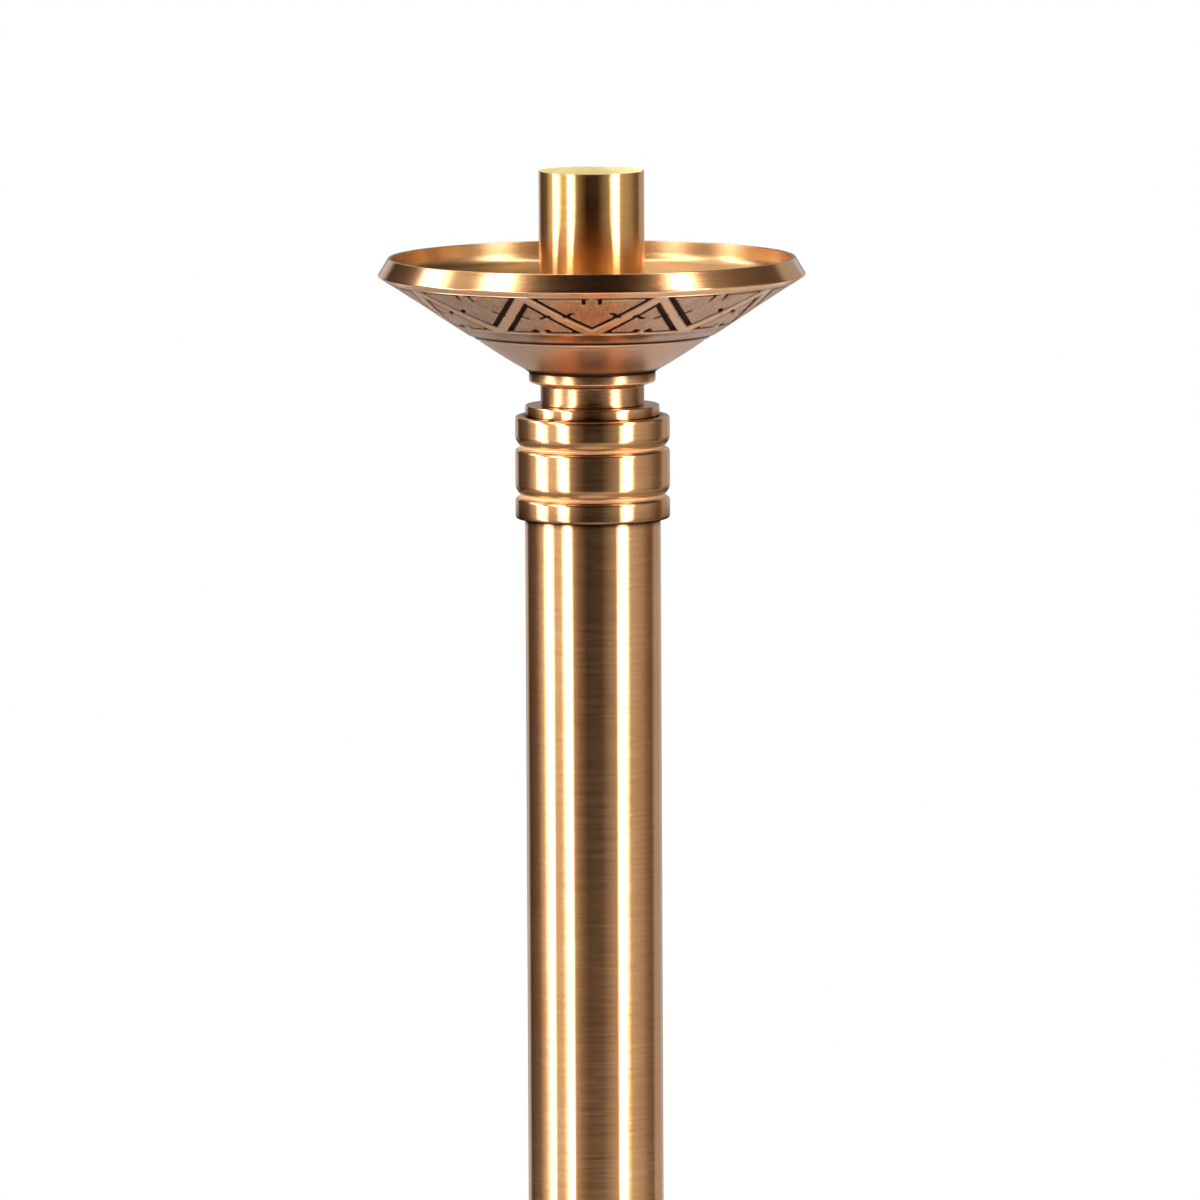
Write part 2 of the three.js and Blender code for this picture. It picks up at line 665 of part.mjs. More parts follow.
// Stand: what stays together when the pan and the socket are off
const stand = new THREE.Group();
bumperPlaces().forEach(([x, y], i) => {
  const screwZ = SCREW_HEAD_RECESS - SEAM - SCREW_HEAD_HEIGHT;
  stand.add(piece(`foot_bumper_${i + 1}`, bumper(), rubber, x, y, 0));
  stand.add(piece(`bumper_screw_${i + 1}`, bumperScrew(), steel, x, y, screwZ));
});
const washer = () => disc(WASHER_DIAMETER / 2, rodBore, WASHER_THICKNESS, ROD_FACETS);
const plate = disc(footInside - PLATE_CLEARANCE, rodBore, PLATE_THICKNESS, COLLAR_FACETS);
const footCollar = piece("foot_collar", collar(), satinBronze, 0, 0, columnShownZ);
footCollar.rotation.x = Math.PI;
stand.add(
  piece("foot_shell", footShell(), castBronze, 0, 0, footZ),
  piece("bottom_plate", plate, steel, 0, 0, plateZ),
  piece("ballast_weight", ballast(), castIron, 0, 0, plateZ + PLATE_THICKNESS + 2 * SEAM),
  piece("foot_washer", washer(), steel, 0, 0, footWasherZ),
  piece("foot_nut", nut(NUT_HEIGHT), steel, 0, 0, footNutZ),
  piece("tie_rod", tieRod(socketZ + SOCKET_THREAD_DEPTH - SEAM - rodZ), steel, 0, 0, rodZ),
  footCollar,
  piece("column_tube", columnTube(), satinBronze, 0, 0, columnShownZ - COLLAR_SOCKET_DEPTH),
  piece("capital", collar(), satinBronze, 0, 0, capitalZ),
  piece("neck_spool", neckSpool(), satinBronze, 0, 0, neckZ),
  piece("neck_washer", washer(), steel, 0, 0, neckWasherZ),
  piece("neck_nut", nut(JAM_NUT_HEIGHT), steel, 0, 0, neckNutZ),
);

// Drip pan, which lifts off the neck
const pan = new THREE.Group();
pan.add(piece("drip_pan", dripPan(), castBronze, 0, 0, panZ));

// Candle socket, which unscrews from the rod
const socket = new THREE.Group();
socket.add(
  piece("socket_tube", socketTube(), satinBrass, 0, 0, socketZ),
  piece("socket_floor", socketFloor(), satinBrass, 0, 0, socketZ),
);

const candlestick = new THREE.Group();
candlestick.add(stand, pan, socket);

export default candlestick;
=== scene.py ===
"""A church floor candlestick in satin bronze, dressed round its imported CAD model.

Each piece but the ballast is a fine turned surface of the CAD piece's own sizes, and the relief of
pan and foot is true geometry. Profiles are in millimetres, and meshes in metres.
"""

import bpy
import numpy as np
from mathutils import Euler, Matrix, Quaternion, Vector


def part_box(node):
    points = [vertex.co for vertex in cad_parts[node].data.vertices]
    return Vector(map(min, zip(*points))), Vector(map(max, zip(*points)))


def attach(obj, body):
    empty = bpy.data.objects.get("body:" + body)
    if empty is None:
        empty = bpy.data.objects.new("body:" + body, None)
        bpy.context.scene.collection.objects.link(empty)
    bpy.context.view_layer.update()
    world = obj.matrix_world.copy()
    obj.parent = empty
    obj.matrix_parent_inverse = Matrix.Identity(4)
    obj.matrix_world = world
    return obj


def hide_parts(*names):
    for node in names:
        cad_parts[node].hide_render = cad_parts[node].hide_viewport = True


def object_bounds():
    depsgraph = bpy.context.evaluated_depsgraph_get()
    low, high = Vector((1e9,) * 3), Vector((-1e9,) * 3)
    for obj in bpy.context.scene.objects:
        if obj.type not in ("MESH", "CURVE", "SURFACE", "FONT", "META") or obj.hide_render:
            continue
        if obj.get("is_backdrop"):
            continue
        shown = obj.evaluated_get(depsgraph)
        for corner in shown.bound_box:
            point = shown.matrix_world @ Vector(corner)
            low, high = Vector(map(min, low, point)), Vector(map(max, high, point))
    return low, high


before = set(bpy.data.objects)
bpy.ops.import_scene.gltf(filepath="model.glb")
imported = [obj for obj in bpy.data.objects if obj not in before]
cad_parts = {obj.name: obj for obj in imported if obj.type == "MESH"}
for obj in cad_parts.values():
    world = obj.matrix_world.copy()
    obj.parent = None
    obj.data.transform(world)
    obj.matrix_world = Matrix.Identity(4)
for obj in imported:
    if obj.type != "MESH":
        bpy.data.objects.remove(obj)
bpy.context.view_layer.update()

MM = 0.001

# Sizes in millimetres, as in the part's source

SEAM = 0.2  # between two pieces that seat on each other
SLIP = 0.15  # radial, round a piece that sits in a bore
ROD_RADIUS, ROD_BORE, ROD_CHAMFER = 4.75, 4.95, 0.8
WASHER_RADIUS, WASHER_THICKNESS = 10.0, 1.6
NUT_FLATS = 16.0

SOCKET_BORE, SOCKET_RADIUS = 19.05, 19.75
PLUG_RADIUS, PLUG_HEIGHT = 18.9, 11.0
PLUG_THREAD, DRILL_POINT = 7.5, 1.0

PAN_BAND = ((77.8, 34.36), (46.0, 13.6))  # outer and inner end of the pan's relief: radius, height
PAN_BORDERS = (2.0, 8.2)  # plain metal at the outer and inner end of the band
PAN_STRAP, PAN_CHANNEL = 4.2, 1.8
PAN_WALL, PAN_FLOOR = 2.6, 5.0
PAN_CONE_STEP, PAN_CONE_BULGE = 0.55, 0.4
PAN_RIM, PAN_LIP, PAN_INSIDE = 80.1, 76.2, 75.0  # radii of the rim's edge and of its top, out and in
PAN_EDGE, PAN_HEIGHT = 35.9, 42.5
PAN_TAPER = 0.15
PAN_SEAT, PAN_SEAT_CHAMFER = 24.8, 0.5

SPIGOT_RADIUS, SPIGOT_HEIGHT = 14.0, 6.0
NECK_WAIST, NECK_RING, NECK_RING_TAPER, NECK_HEIGHT = 19.4, 23.7, 0.7, 12.4
COUNTERBORE_RADIUS, COUNTERBORE_FLOOR = 10.4, 4.7

COLUMN_RADIUS, COLUMN_BORE = 25.4, 23.8
COLUMN_ENTERS = 22.0  # how far the column stands in each collar
COLLAR_RADIUS, COLLAR_HEIGHT = 28.95, 42.6
COLLAR_STEP_RADIUS, COLLAR_STEP = 25.15, 38.6  # the step at the far end from the column, and its foot
GROOVE_STARTS, GROOVE_DEPTH = (6.8, 25.1), 2.15

FOOT_RADIUS, FOOT_RIM = 139.7, 10.0
FOOT_BEVEL_TOP = (133.7, 18.0)
FOOT_BAND = ((129.7, 20.0), (84.0, 45.0))
FOOT_BORDERS = (3.0, 8.0)
FOOT_STRAP, FOOT_CHANNEL = 6.4, 2.8
FOOT_WALL, FOOT_CROWN = 6.0, 14.0
FOOT_SEAT, FOOT_HEIGHT = 35.0, 93.0
COVE_TOP = 89.0
COVE_CORNER_ACROSS, COVE_CORNER_UP = 0.18, 0.3  # of the cove's width and rise, to the corner it rounds
FOOT_INSIDE, PLATE_RECESS, PLATE_LEDGE = 119.7, 15.0, 8.0
PLATE_RADIUS, PLATE_THICKNESS = 118.7, 3.0

BUMPER_FOOT, BUMPER_RADIUS, BUMPER_HEIGHT = 7.0, 8.0, 5.0
BUMPER_HOLE, BUMPER_RECESS, BUMPER_RECESS_DEPTH = 2.2, 3.9, 2.6
SCREW_RADIUS, SCREW_HEAD, SCREW_HEAD_HEIGHT, SCREW_LENGTH = 2.0, 3.6, 2.1, 12.1

REPEATS = 9  # panels of each kind round the relief
BORDER_GROOVE = 1.2  # the turned line between relief and plain metal

# Sizes of the finer carving, which the source leaves to this script

RELIEF_DEPTH = 1.45  # slightly more than the source's cutters
PANEL_SINK, UNEVEN = 0.13, 0.06  # shares of that depth: how low the cast panels lie, and how uneven
MARGIN = 0.8  # plain metal that a fine belt keeps beyond its channels
HALF_STEM = 0.3  # share of a strap's width
HALF_SLIT, BASE_CHANNEL, SOFT_EDGE = 0.4, 0.75, 0.34  # shares of a channel's width
LEG_SLIT_PLACE = 0.44  # share of the strap's length, from the panel's tip
LEG_SLIT_LENGTH = 2.3  # in channels
# The slit by a hanging and a standing panel's stem: width and offset in half slits, length in channels
STEM_SLIT_WIDTH, STEM_SLIT_OFFSET, STEM_SLIT_LENGTH = (1.0, 1.6), (2.4, 1.6), (2.6, 1.0)
# The bead round the top of the pan's plain cone: distance down the cone, height out of it, fillet
CONE_BEAD = ((3.6, 0.1, 0.15), (2.9, 0.08, 0.4), (2.3, 0.4, 0.4), (1.7, 0.1, 0.3), (1.5, 0.05, 0.15))
# Points below and above the pan's border groove, which carry its crease: distance, fillet
BELOW_GROOVE, ABOVE_GROOVE = ((1.4, 0.15), (1.0, 0.15), (0.6, 0.1)), ((0.8, 0.1), (1.4, 0.15), (2.2, 0.15))
RING_UNDERSIDE = (7.3, 8.3, 9.0)  # heights where the neck's ring grows out of the waist
LOWER_FLANK, UPPER_FLANK = 2.0, 4.2  # heights of a collar groove's two sides
LOWER_CURVE, UPPER_CURVE = 1.7, 2.2  # and the exponents of their curves
GROOVE_POINTS, DULL_FROM, DULL_TO = 33, 10, 18  # points up a groove, and the dull ones at its foot
TOP_RING = 31.6  # where the plain part of the collar's last ring begins
CLEAR = 0.2  # between the end of a groove and the next point
BESIDE_COLLAR = (-0.5, 0.5, 1.5, 3.0)  # places of the column's points by a collar, for a crease

# Columns round the pieces, and rows across a belt of relief
TURNED_COLUMNS = 180
RELIEF_COLUMNS, RELIEF_ROWS = 1080, 62
ROD_COLUMNS, NUT_COLUMNS, WASHER_COLUMNS, BUMPER_COLUMNS = 60, 120, 96, 72


def base_of(node):
    """The height of a node's lowest point, in millimetres."""
    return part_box(node)[0].z / MM


def height_of(node):
    """A node's height, in millimetres."""
    low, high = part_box(node)
    return (high.z - low.z) / MM


def new_object(name, data):
    """A new object of the scene."""
    made = bpy.data.objects.new(name, data)
    bpy.context.scene.collection.objects.link(made)
    return made


# Profiles

FILLET = 0.15  # where a corner names none
GUARD, ROOM = 1.35, 2.9  # fillet lengths from a corner to its guard point, and along the shortest side


def rounded(corners, closed=True, steps=5):
    """A profile with a fillet at each corner (radius, height, fillet).

    The fillet is the curve (1-t)^2 A + 2t(1-t) C + t^2 B, where C is the corner and A and B lie the
    fillet's length along its two sides. A guard point just beyond A and B keeps the flats flat.
    """
    table = np.array([(*corner, FILLET)[:3] for corner in corners], float)
    corner, fillet = table[:, None, :2], table[:, 2]
    to_last = np.roll(corner, 1, 0) - corner
    to_next = np.roll(corner, -1, 0) - corner
    sides = [np.linalg.norm(side, axis=2)[:, 0] for side in (to_last, to_next)]
    length = np.minimum(fillet, np.minimum(*sides) / ROOM)[:, None, None]
    to_last = to_last / sides[0][:, None, None] * length
    to_next = to_next / sides[1][:, None, None] * length
    t = np.linspace(0, 1, steps)[None, :, None]
    curve = corner + (1 - t) ** 2 * to_last + t**2 * to_next
    points = np.concatenate([corner + GUARD * to_last, curve, corner + GUARD * to_next], 1)
    if not closed:
        return np.concatenate([corner[0], points[1:-1].reshape(-1, 2), corner[-1]])
    return points.reshape(-1, 2)


def between(first, second, share):
    """The point at a share of the way from one point to another."""
    return tuple(np.array(first) * (1 - share) + np.array(second) * share)


def band_frame(band):
    """Unit vectors of a cone's band, from its outer end inwards and out of its surface, and its length."""
    outer, inner = np.array(band[0]), np.array(band[1])
    length = np.linalg.norm(inner - outer)
    slope = (inner - outer) / length
    normal = np.array([abs(slope[1]), -slope[0] if slope[1] > 0 else slope[0]])
    return slope, normal, length


def down_to(band, out, radius=None, height=None):
    """How far from the outer end a line `out` of the band's surface gets to a radius or a height."""
    slope, normal, _ = band_frame(band)
    axis, value = (0, radius) if height is None else (1, height)
    return (value - band[0][axis] - normal[axis] * out) / slope[axis]


def on_band(band, down, out=0.0):
    """The profile point that lies `down` from the band's outer end and `out` of its surface."""
    slope, normal, _ = band_frame(band)
    return tuple(np.array(band[0]) + slope * down + normal * out)


# Surfaces


def around(radius, height, columns):
    """Sweeps a profile round the axis: x = r sin a, y = -r cos a, z = h, with a = 0 at the front.

    Radius and height are given for each row, or for each row and column.
    """
    angle = np.arange(columns) * 2 * np.pi / columns
    radius, height = (np.asarray(v, float) for v in (radius, height))
    radius, height = (v[:, None] if v.ndim == 1 else v for v in (radius, height))
    flat = np.zeros((1, columns))
    return np.stack([radius * np.sin(angle), -radius * np.cos(angle), height + flat], 2)


def smoothstep(x):
    """0 below 0, 1 above 1, and 3x^2 - 2x^3 between."""
    x = np.clip(x, 0, 1)
    return x * x * (3 - 2 * x)


def chevron_relief(angle, reach, outer, inner, flatness, strap, channel):
    """How deep the relief lies: 0 on the straps, a little on the panels, and 1 on the channels' floor.

    The cone is unrolled flat: a point keeps its distance `reach` from the cone's tip, and its angle
    shrinks by the cone's flatness. There the straps are straight lines between the field's outer
    border, at every other half bay, and its inner border, at the ones between. Each triangle between
    two straps is a panel, hanging or standing, with a channel round it but for a stem in the middle of
    its long side. Slits from its legs and beside the stem make it a leaf. The depth is a smooth step of
    the distance to the nearest channel or slit. The panels are a little sunk, and uneven as a product
    of two bent waves a few millimetres long.
    """
    half_bay = np.pi / REPEATS * flatness
    turn = angle * flatness
    turn = np.abs((turn + half_bay) % (2 * half_bay) - half_bay)
    x, y = reach * np.sin(turn), reach * np.cos(turn)
    corner = np.array([outer * np.sin(half_bay), outer * np.cos(half_bay)])
    line = corner - (0, inner)
    strap_length = np.hypot(*line)
    right = np.array([line[1], -line[0]]) / strap_length
    off_line = (x - corner[0]) * right[0] + (y - corner[1]) * right[1]
    hanging = off_line < 0
    from_strap = np.abs(off_line)
    across = np.where(hanging, x, reach * np.sin(half_bay - turn))
    along = np.where(hanging, outer - reach, reach - inner)
    stem, half_slit = strap * HALF_STEM, channel * HALF_SLIT
    legs = np.maximum.reduce(
        [np.abs(from_strap - (strap + channel) / 2) - channel / 2, reach - outer, inner - reach]
    )
    base_channel = channel * BASE_CHANNEL
    base = np.maximum.reduce(
        [np.abs(along - base_channel / 2) - base_channel / 2, strap / 2 - from_strap, stem - across]
    )
    along_strap = (x - corner[0]) * line[0] / strap_length + (y - corner[1]) * line[1] / strap_length
    from_tip = np.where(hanging, strap_length + along_strap, -along_strap) / strap_length
    slit_reach = np.clip(from_strap, strap / 2, strap / 2 + LEG_SLIT_LENGTH * channel)
    leg_slit = np.hypot((from_tip - LEG_SLIT_PLACE) * strap_length, from_strap - slit_reach) - half_slit
    width, offset, length = (
        np.where(hanging, *pair) for pair in (STEM_SLIT_WIDTH, STEM_SLIT_OFFSET, STEM_SLIT_LENGTH)
    )
    wide = half_slit * width
    stem_slit = np.hypot(
        across - stem - half_slit * offset, along - np.clip(along, wide, channel * length)
    ) - wide
    nearest = np.minimum.reduce([legs, base, leg_slit, stem_slit])
    panel = smoothstep((from_strap - strap / 2) / channel) * smoothstep(along / channel)
    uneven = np.sin(1.9 * x + 2 * np.sin(1.1 * y)) * np.sin(1.6 * y + 1.7 * np.sin(0.9 * across))
    carved = smoothstep(0.5 - nearest / (channel * SOFT_EDGE))
    return np.maximum(carved, panel * (PANEL_SINK + UNEVEN * uneven))


def relief_belt(band, borders, strap, channel):
    """The fine belt of relief on a cone's band, from its inner end, and how deep each point lies."""
    slope, normal, length = band_frame(band)
    down, angle = np.meshgrid(
        np.linspace(length - borders[1] + MARGIN, borders[0] - MARGIN, RELIEF_ROWS),
        np.arange(RELIEF_COLUMNS) * 2 * np.pi / RELIEF_COLUMNS,
        indexing="ij",
    )
    radius = band[0][0] + slope[0] * down
    flatness = abs(slope[0])
    outer, inner = band[0][0] / flatness - borders[0], band[1][0] / flatness + borders[1]
    depth = chevron_relief(angle, radius / flatness, outer, inner, flatness, strap, channel)
    out = -RELIEF_DEPTH * depth
    height = band[0][1] + slope[1] * down + normal[1] * out
    return around(radius + normal[0] * out, height, RELIEF_COLUMNS), depth


def quads(index):
    """Four-cornered faces between the rows of a grid of point numbers that closes on itself."""
    beside = np.roll(index, -1, 1)
    return np.stack([index[:-1], beside[:-1], beside[1:], index[1:]], 2).reshape(-1, 4)


def stitch(lower, upper):
    """Faces between two rings of point numbers, one with a whole number of times the other's points."""
    if len(lower) == len(upper):
        return quads(np.stack([lower, upper]))
    if len(lower) < len(upper):
        times = len(upper) // len(lower)
        places = np.arange(len(lower))[:, None] * times + np.arange(times, -1, -1)
        return np.hstack([np.stack([lower, np.roll(lower, -1)], 1), np.append(upper, upper[0])[places]])
    times = len(lower) // len(upper)
    places = np.arange(len(upper))[:, None] * times + np.arange(times + 1)
    return np.hstack([np.append(lower, lower[0])[places], np.stack([np.roll(upper, -1), upper], 1)])


def make_piece(name, belts, finishes, body, node, poles=None, offset=(0, 0, 0)):
    """Joins belts of rings into one closed skin and makes it a piece that stands for a CAD node.

    A belt is (points in rows and columns, its number in `finishes`, depth of relief, or of painted crease
    shade, or 0). The skin closes on itself along the profile, or on the axis at the two heights in
    `poles`. Each point also gets its place on the turning: the direction from the axis, and the
    millimetres along the profile.
    """
    points, faces, finish, turning, relief, rings = [], [], [], [], [], []
    start, travelled, last = 0, 0.0, None
    for grid, number, depth in belts:
        rows, columns = grid.shape[:2]
        index = np.arange(rows * columns).reshape(rows, columns) + start
        start += rows * columns
        front = grid[:, 0]
        steps = np.linalg.norm(np.diff(front, axis=0, prepend=front[:1] if last is None else last), axis=1)
        along = travelled + np.cumsum(steps)
        travelled, last = along[-1], front[-1:]
        points.append(grid.reshape(-1, 3))
        turning.append(around(np.ones(rows), along, columns).reshape(-1, 3))
        relief.append(np.broadcast_to(depth, grid.shape[:2]).ravel())
        faces.append(quads(index))
        finish.append(np.full(len(faces[-1]), number))
        rings.append((index[0], index[-1]))
    joins = [stitch(a[1], b[0]) for a, b in zip(rings, rings[1:])]
    if poles is None:
        joins.append(stitch(rings[-1][1], rings[0][0]))
    else:
        first, final = rings[0][0], rings[-1][1]
        joins.append(np.stack([np.full(len(first), start), np.roll(first, -1), first], 1))
        joins.append(np.stack([final, np.roll(final, -1), np.full(len(final), start + 1)], 1))
        points.append(np.array([(0, 0, z) for z in poles], float))
        turning.append(np.array([(0, 0, 0), (0, 0, travelled)], float))
        relief.append(np.zeros(2))
    faces += joins
    finish += [np.zeros(len(join)) for join in joins]

    co = (np.concatenate(points) + offset) * MM
    corners = np.concatenate([face.ravel() for face in faces])
    counts = np.concatenate([np.full(len(face), face.shape[1]) for face in faces])
    mesh = bpy.data.meshes.new(name)
    mesh.vertices.add(len(co))
    mesh.vertices.foreach_set("co", co.astype(np.float32).ravel())
    mesh.loops.add(len(corners))
    mesh.loops.foreach_set("vertex_index", corners.astype(np.int32))
    mesh.polygons.add(len(counts))
    mesh.polygons.foreach_set("loop_start", (np.cumsum(counts) - counts).astype(np.int32))
    mesh.update(calc_edges=True)
    mesh.polygons.foreach_set("material_index", np.concatenate(finish).astype(np.int32))
    mesh.shade_smooth()
    for label, kind, values in (("turning", "FLOAT_VECTOR", turning), ("relief", "FLOAT", relief)):
        data = mesh.attributes.new(label, kind, "POINT").data
        values = np.concatenate(values).astype(np.float32).ravel()
        data.foreach_set("vector" if kind == "FLOAT_VECTOR" else "value", values)
    for material in finishes:
        mesh.materials.append(material)
    piece = new_object(name, mesh)
    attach(piece, body)
    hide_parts(node)


def turned(profile, columns=TURNED_COLUMNS, lift=0.0, finish=0, creases=()):
    """One belt: a profile in (radius, height) swept round the axis, lifted to its seat.

    Round each crease (radius, height, reach, strength) the depth falls from its strength to 0 as a
    smooth step of the distance. The lathe finishes paint that depth as a dark shade, the cast finish as
    its brown.
    """
    depth = np.zeros(len(profile))
    for radius, height, reach, strength in creases:
        from_crease = np.hypot(profile[:, 0] - radius, profile[:, 1] - height)
        depth = np.maximum(depth, strength * (1 - smoothstep(from_crease / reach)))
    return around(profile[:, 0], profile[:, 1] + lift, columns), finish, depth[:, None]


# Materials

MIX_A, MIX_B, COLOUR_MIX = 6, 7, {"data_type": "RGBA", "out": 2}  # a Mix node's sockets for colours
SMOOTH = {"interpolation_type": "SMOOTHSTEP"}
WHITE, BLACK = (1.0, 1.0, 1.0, 1.0), (0.0, 0.0, 0.0, 1.0)
CREASE_BROWN = "#1A0C07"  # painted shade: the dark brown of creases, seams and the undersides of rings
CREASE_COVER = 0.97  # how much of the metal the painted shade hides
MARKS_ROUND = 1.6  # how often the lathe's marks change on the way round the axis
SCRATCH_BUMP, SAND_BUMP = 0.02, 0.12  # heights in millimetres
# Noise to the metre: clouds of 26 mm on turned metal, and clouds of 8 mm and sand of 1.1 mm on castings
TURNED_CLOUDS, CAST_CLOUDS, CAST_SAND = 38.0, 120.0, 900.0


def linear(code):
    """An sRGB hex colour as linear red, green, blue and alpha."""
    part = [int(code[i : i + 2], 16) / 255 for i in (1, 3, 5)]
    return (*[c / 12.92 if c <= 0.04045 else ((c + 0.055) / 1.055) ** 2.4 for c in part], 1.0)


def add(tree, kind, inputs=None, out=0, **settings):
    """Adds a shader node with its settings, links or sets its inputs, and gives back one output."""
    made = tree.nodes.new("ShaderNode" + kind)
    for key, value in settings.items():
        setattr(made, key, value)
    for key, value in (inputs or {}).items():
        if isinstance(value, bpy.types.NodeSocket):
            tree.links.new(value, made.inputs[key])
        else:
            made.inputs[key].default_value = value
    return made.outputs[out] if made.outputs else None


def new_material(name):
    """A material with an empty node tree."""
    material = bpy.data.materials.new(name)
    material.use_nodes = True
    material.node_tree.nodes.clear()
    return material, material.node_tree


def lathe_finish(name, bright, deep, roughness, lines_per_mm, stretch, scratches=0.12):
    """Metal brushed on the lathe and lacquered.

    The marks run round the axis, so a lamp draws into a streak along the axis, by `stretch`, and stays
    sharp across it. Faint lines of lighter and duller metal follow the turning, as rough and as deep as
    `scratches` says, and the creases are painted dark brown, a painted shade in the colour and in the
    reflection's tint.
    """
    material, tree = new_material(name)
    turning = add(tree, "Attribute", out="Vector", attribute_name="turning")
    crease = add(tree, "Attribute", out="Fac", attribute_name="relief")
    place = add(tree, "TexCoord", out="Object")
    marks = add(tree, "Mapping", {"Vector": turning, "Scale": (MARKS_ROUND, MARKS_ROUND, lines_per_mm)})
    brushing = add(tree, "TexNoise", {"Vector": marks, "Scale": 1.0, "Detail": 4.0, "Roughness": 0.65})
    clouds = add(tree, "TexNoise", {"Vector": place, "Scale": TURNED_CLOUDS, "Detail": 3.0})
    tone = add(tree, "Math", {0: brushing, 1: clouds}, operation="ADD")
    lighter = add(tree, "MapRange", {"Value": tone, "From Min": 0.7, "From Max": 1.3})
    metal = add(tree, "Mix", {"Factor": lighter, MIX_A: linear(deep), MIX_B: linear(bright)}, **COLOUR_MIX)
    # Painted shade: the creases turn the colour and the reflection's tint dark brown
    filled = add(tree, "Math", {0: crease, 1: CREASE_COVER}, operation="MULTIPLY")
    colour, edge = (
        add(tree, "Mix", {"Factor": filled, MIX_A: clean, MIX_B: linear(CREASE_BROWN)}, **COLOUR_MIX)
        for clean in (metal, WHITE)
    )
    swing = 1.25 * scratches
    dull = add(tree, "MapRange", {
        "Value": brushing, "From Min": 0.25, "From Max": 0.75,
        "To Min": roughness * (1 - swing), "To Max": roughness * (1 + swing),
    })
    scratch = add(tree, "Bump", {"Height": brushing, "Strength": scratches, "Distance": SCRATCH_BUMP * MM})
    round_axis = add(tree, "VectorMath", {0: (0.0, 0.0, 1.0), 1: place}, operation="CROSS_PRODUCT")
    shader = add(tree, "BsdfPrincipled", {
        "Base Color": colour, "Specular Tint": edge, "Roughness": dull, "Normal": scratch,
        "Tangent": round_axis, "Metallic": 1.0, "Anisotropic": stretch, "Anisotropic Rotation": 0.25,
    })
    add(tree, "OutputMaterial", {"Surface": shader})
    return material


def cast_finish(name, bright, deep, patina, worn, roughness):
    """Cast bronze as it comes from fine sand and a wire brush.

    Two tones lie in clouds over the panels. Brown patina is left in the channels, where it is duller too,
    and what stands highest is rubbed to the worn tone. Where a turned belt's creases give it depth, the
    same brown is painted shade.
    """
    material, tree = new_material(name)
    place = add(tree, "TexCoord", out="Object")
    depth = add(tree, "Attribute", out="Fac", attribute_name="relief")
    sand = add(tree, "TexNoise", {"Vector": place, "Scale": CAST_SAND, "Detail": 3.0})
    clouds = add(tree, "TexNoise", {"Vector": place, "Scale": CAST_CLOUDS, "Detail": 4.0})
    high = add(tree, "MapRange", {
        "Value": depth, "From Min": 0.05, "From Max": 0.13, "To Min": 1.0, "To Max": 0.0,
    })
    low = add(tree, "MapRange", {"Value": depth, "From Min": 0.2, "From Max": 0.55})
    colour = linear(deep)
    for share, layer in ((clouds, bright), (high, worn), (low, patina)):
        colour = add(tree, "Mix", {"Factor": share, MIX_A: colour, MIX_B: linear(layer)}, **COLOUR_MIX)
    dull = add(tree, "MapRange", {"Value": low, "To Min": roughness, "To Max": 0.65})
    rough = add(tree, "Bump", {"Height": sand, "Strength": 0.3, "Distance": SAND_BUMP * MM})
    shader = add(
        tree, "BsdfPrincipled", {"Base Color": colour, "Roughness": dull, "Normal": rough, "Metallic": 1.0}
    )
    add(tree, "OutputMaterial", {"Surface": shader})
    return material


def plain_finish(name, bright, deep, roughness, metallic, grain_mm, bump_mm):
    """A finish without direction: two close tones, roughness and bump, in clouds of one grain."""
    material, tree = new_material(name)
    place = add(tree, "TexCoord", out="Object")
    grain = add(tree, "TexNoise", {"Vector": place, "Scale": 1 / (grain_mm * MM), "Detail": 4.0})
    colour = add(tree, "Mix", {"Factor": grain, MIX_A: linear(deep), MIX_B: linear(bright)}, **COLOUR_MIX)
    dull = add(tree, "MapRange", {
        "Value": grain, "To Min": roughness * 0.8, "To Max": min(1.0, roughness * 1.2),
    })
    rough = add(tree, "Bump", {"Height": grain, "Strength": 0.4, "Distance": bump_mm * MM})
    shader = add(tree, "BsdfPrincipled", {
        "Base Color": colour, "Roughness": dull, "Normal": rough, "Metallic": metallic,
    })
    add(tree, "OutputMaterial", {"Surface": shader})
    return material


# Collars and column, brushed and lacquered: warm metal in which each lamp stands as a tall streak
satin_bronze = lathe_finish("satin_bronze_brushed_and_lacquered", "#EDB481", "#DFA46F", 0.16, 1.1, 0.95)
# The casting's turned rim and foot: the same bright metal, with slightly wider streaks
turned_bronze = lathe_finish("cast_bronze_turned_satin", "#EDB481", "#DFA46F", 0.16, 1.0, 0.9)
# The pan's plain cone, turned and left dull: a pale pinkish tone that runs softly from light to dark
dull_bronze = lathe_finish("cast_bronze_turned_dull", "#C59F82", "#BE977B", 0.34, 1.6, 0.3, 0.02)
# Inside the pan, where wax is scraped out: soft gold without sharp reflections
inner_bronze = lathe_finish("cast_bronze_turned_inside", "#CDA474", "#BF9566", 0.3, 1.4, 0.6, 0.05)
# The neck, brushed less finely: its highlights are broad and have soft edges
neck_bronze = lathe_finish("satin_bronze_brushed_soft", "#E6AF7E", "#D69D6C", 0.27, 1.4, 0.8, 0.04)
# The socket's drawn brass: yellower than the bronze, with the sharpest streaks
satin_brass = lathe_finish("satin_brass_brushed_and_lacquered", "#F0BA7C", "#E5AC6A", 0.17, 1.2, 0.95)
# The tube's bore, pickled after brazing: pale yellow and nearly without reflections
pickled_brass = plain_finish("brass_pickled_matte", "#F8EBB4", "#EFDDA0", 0.5, 0.15, 2.0, 0.02)
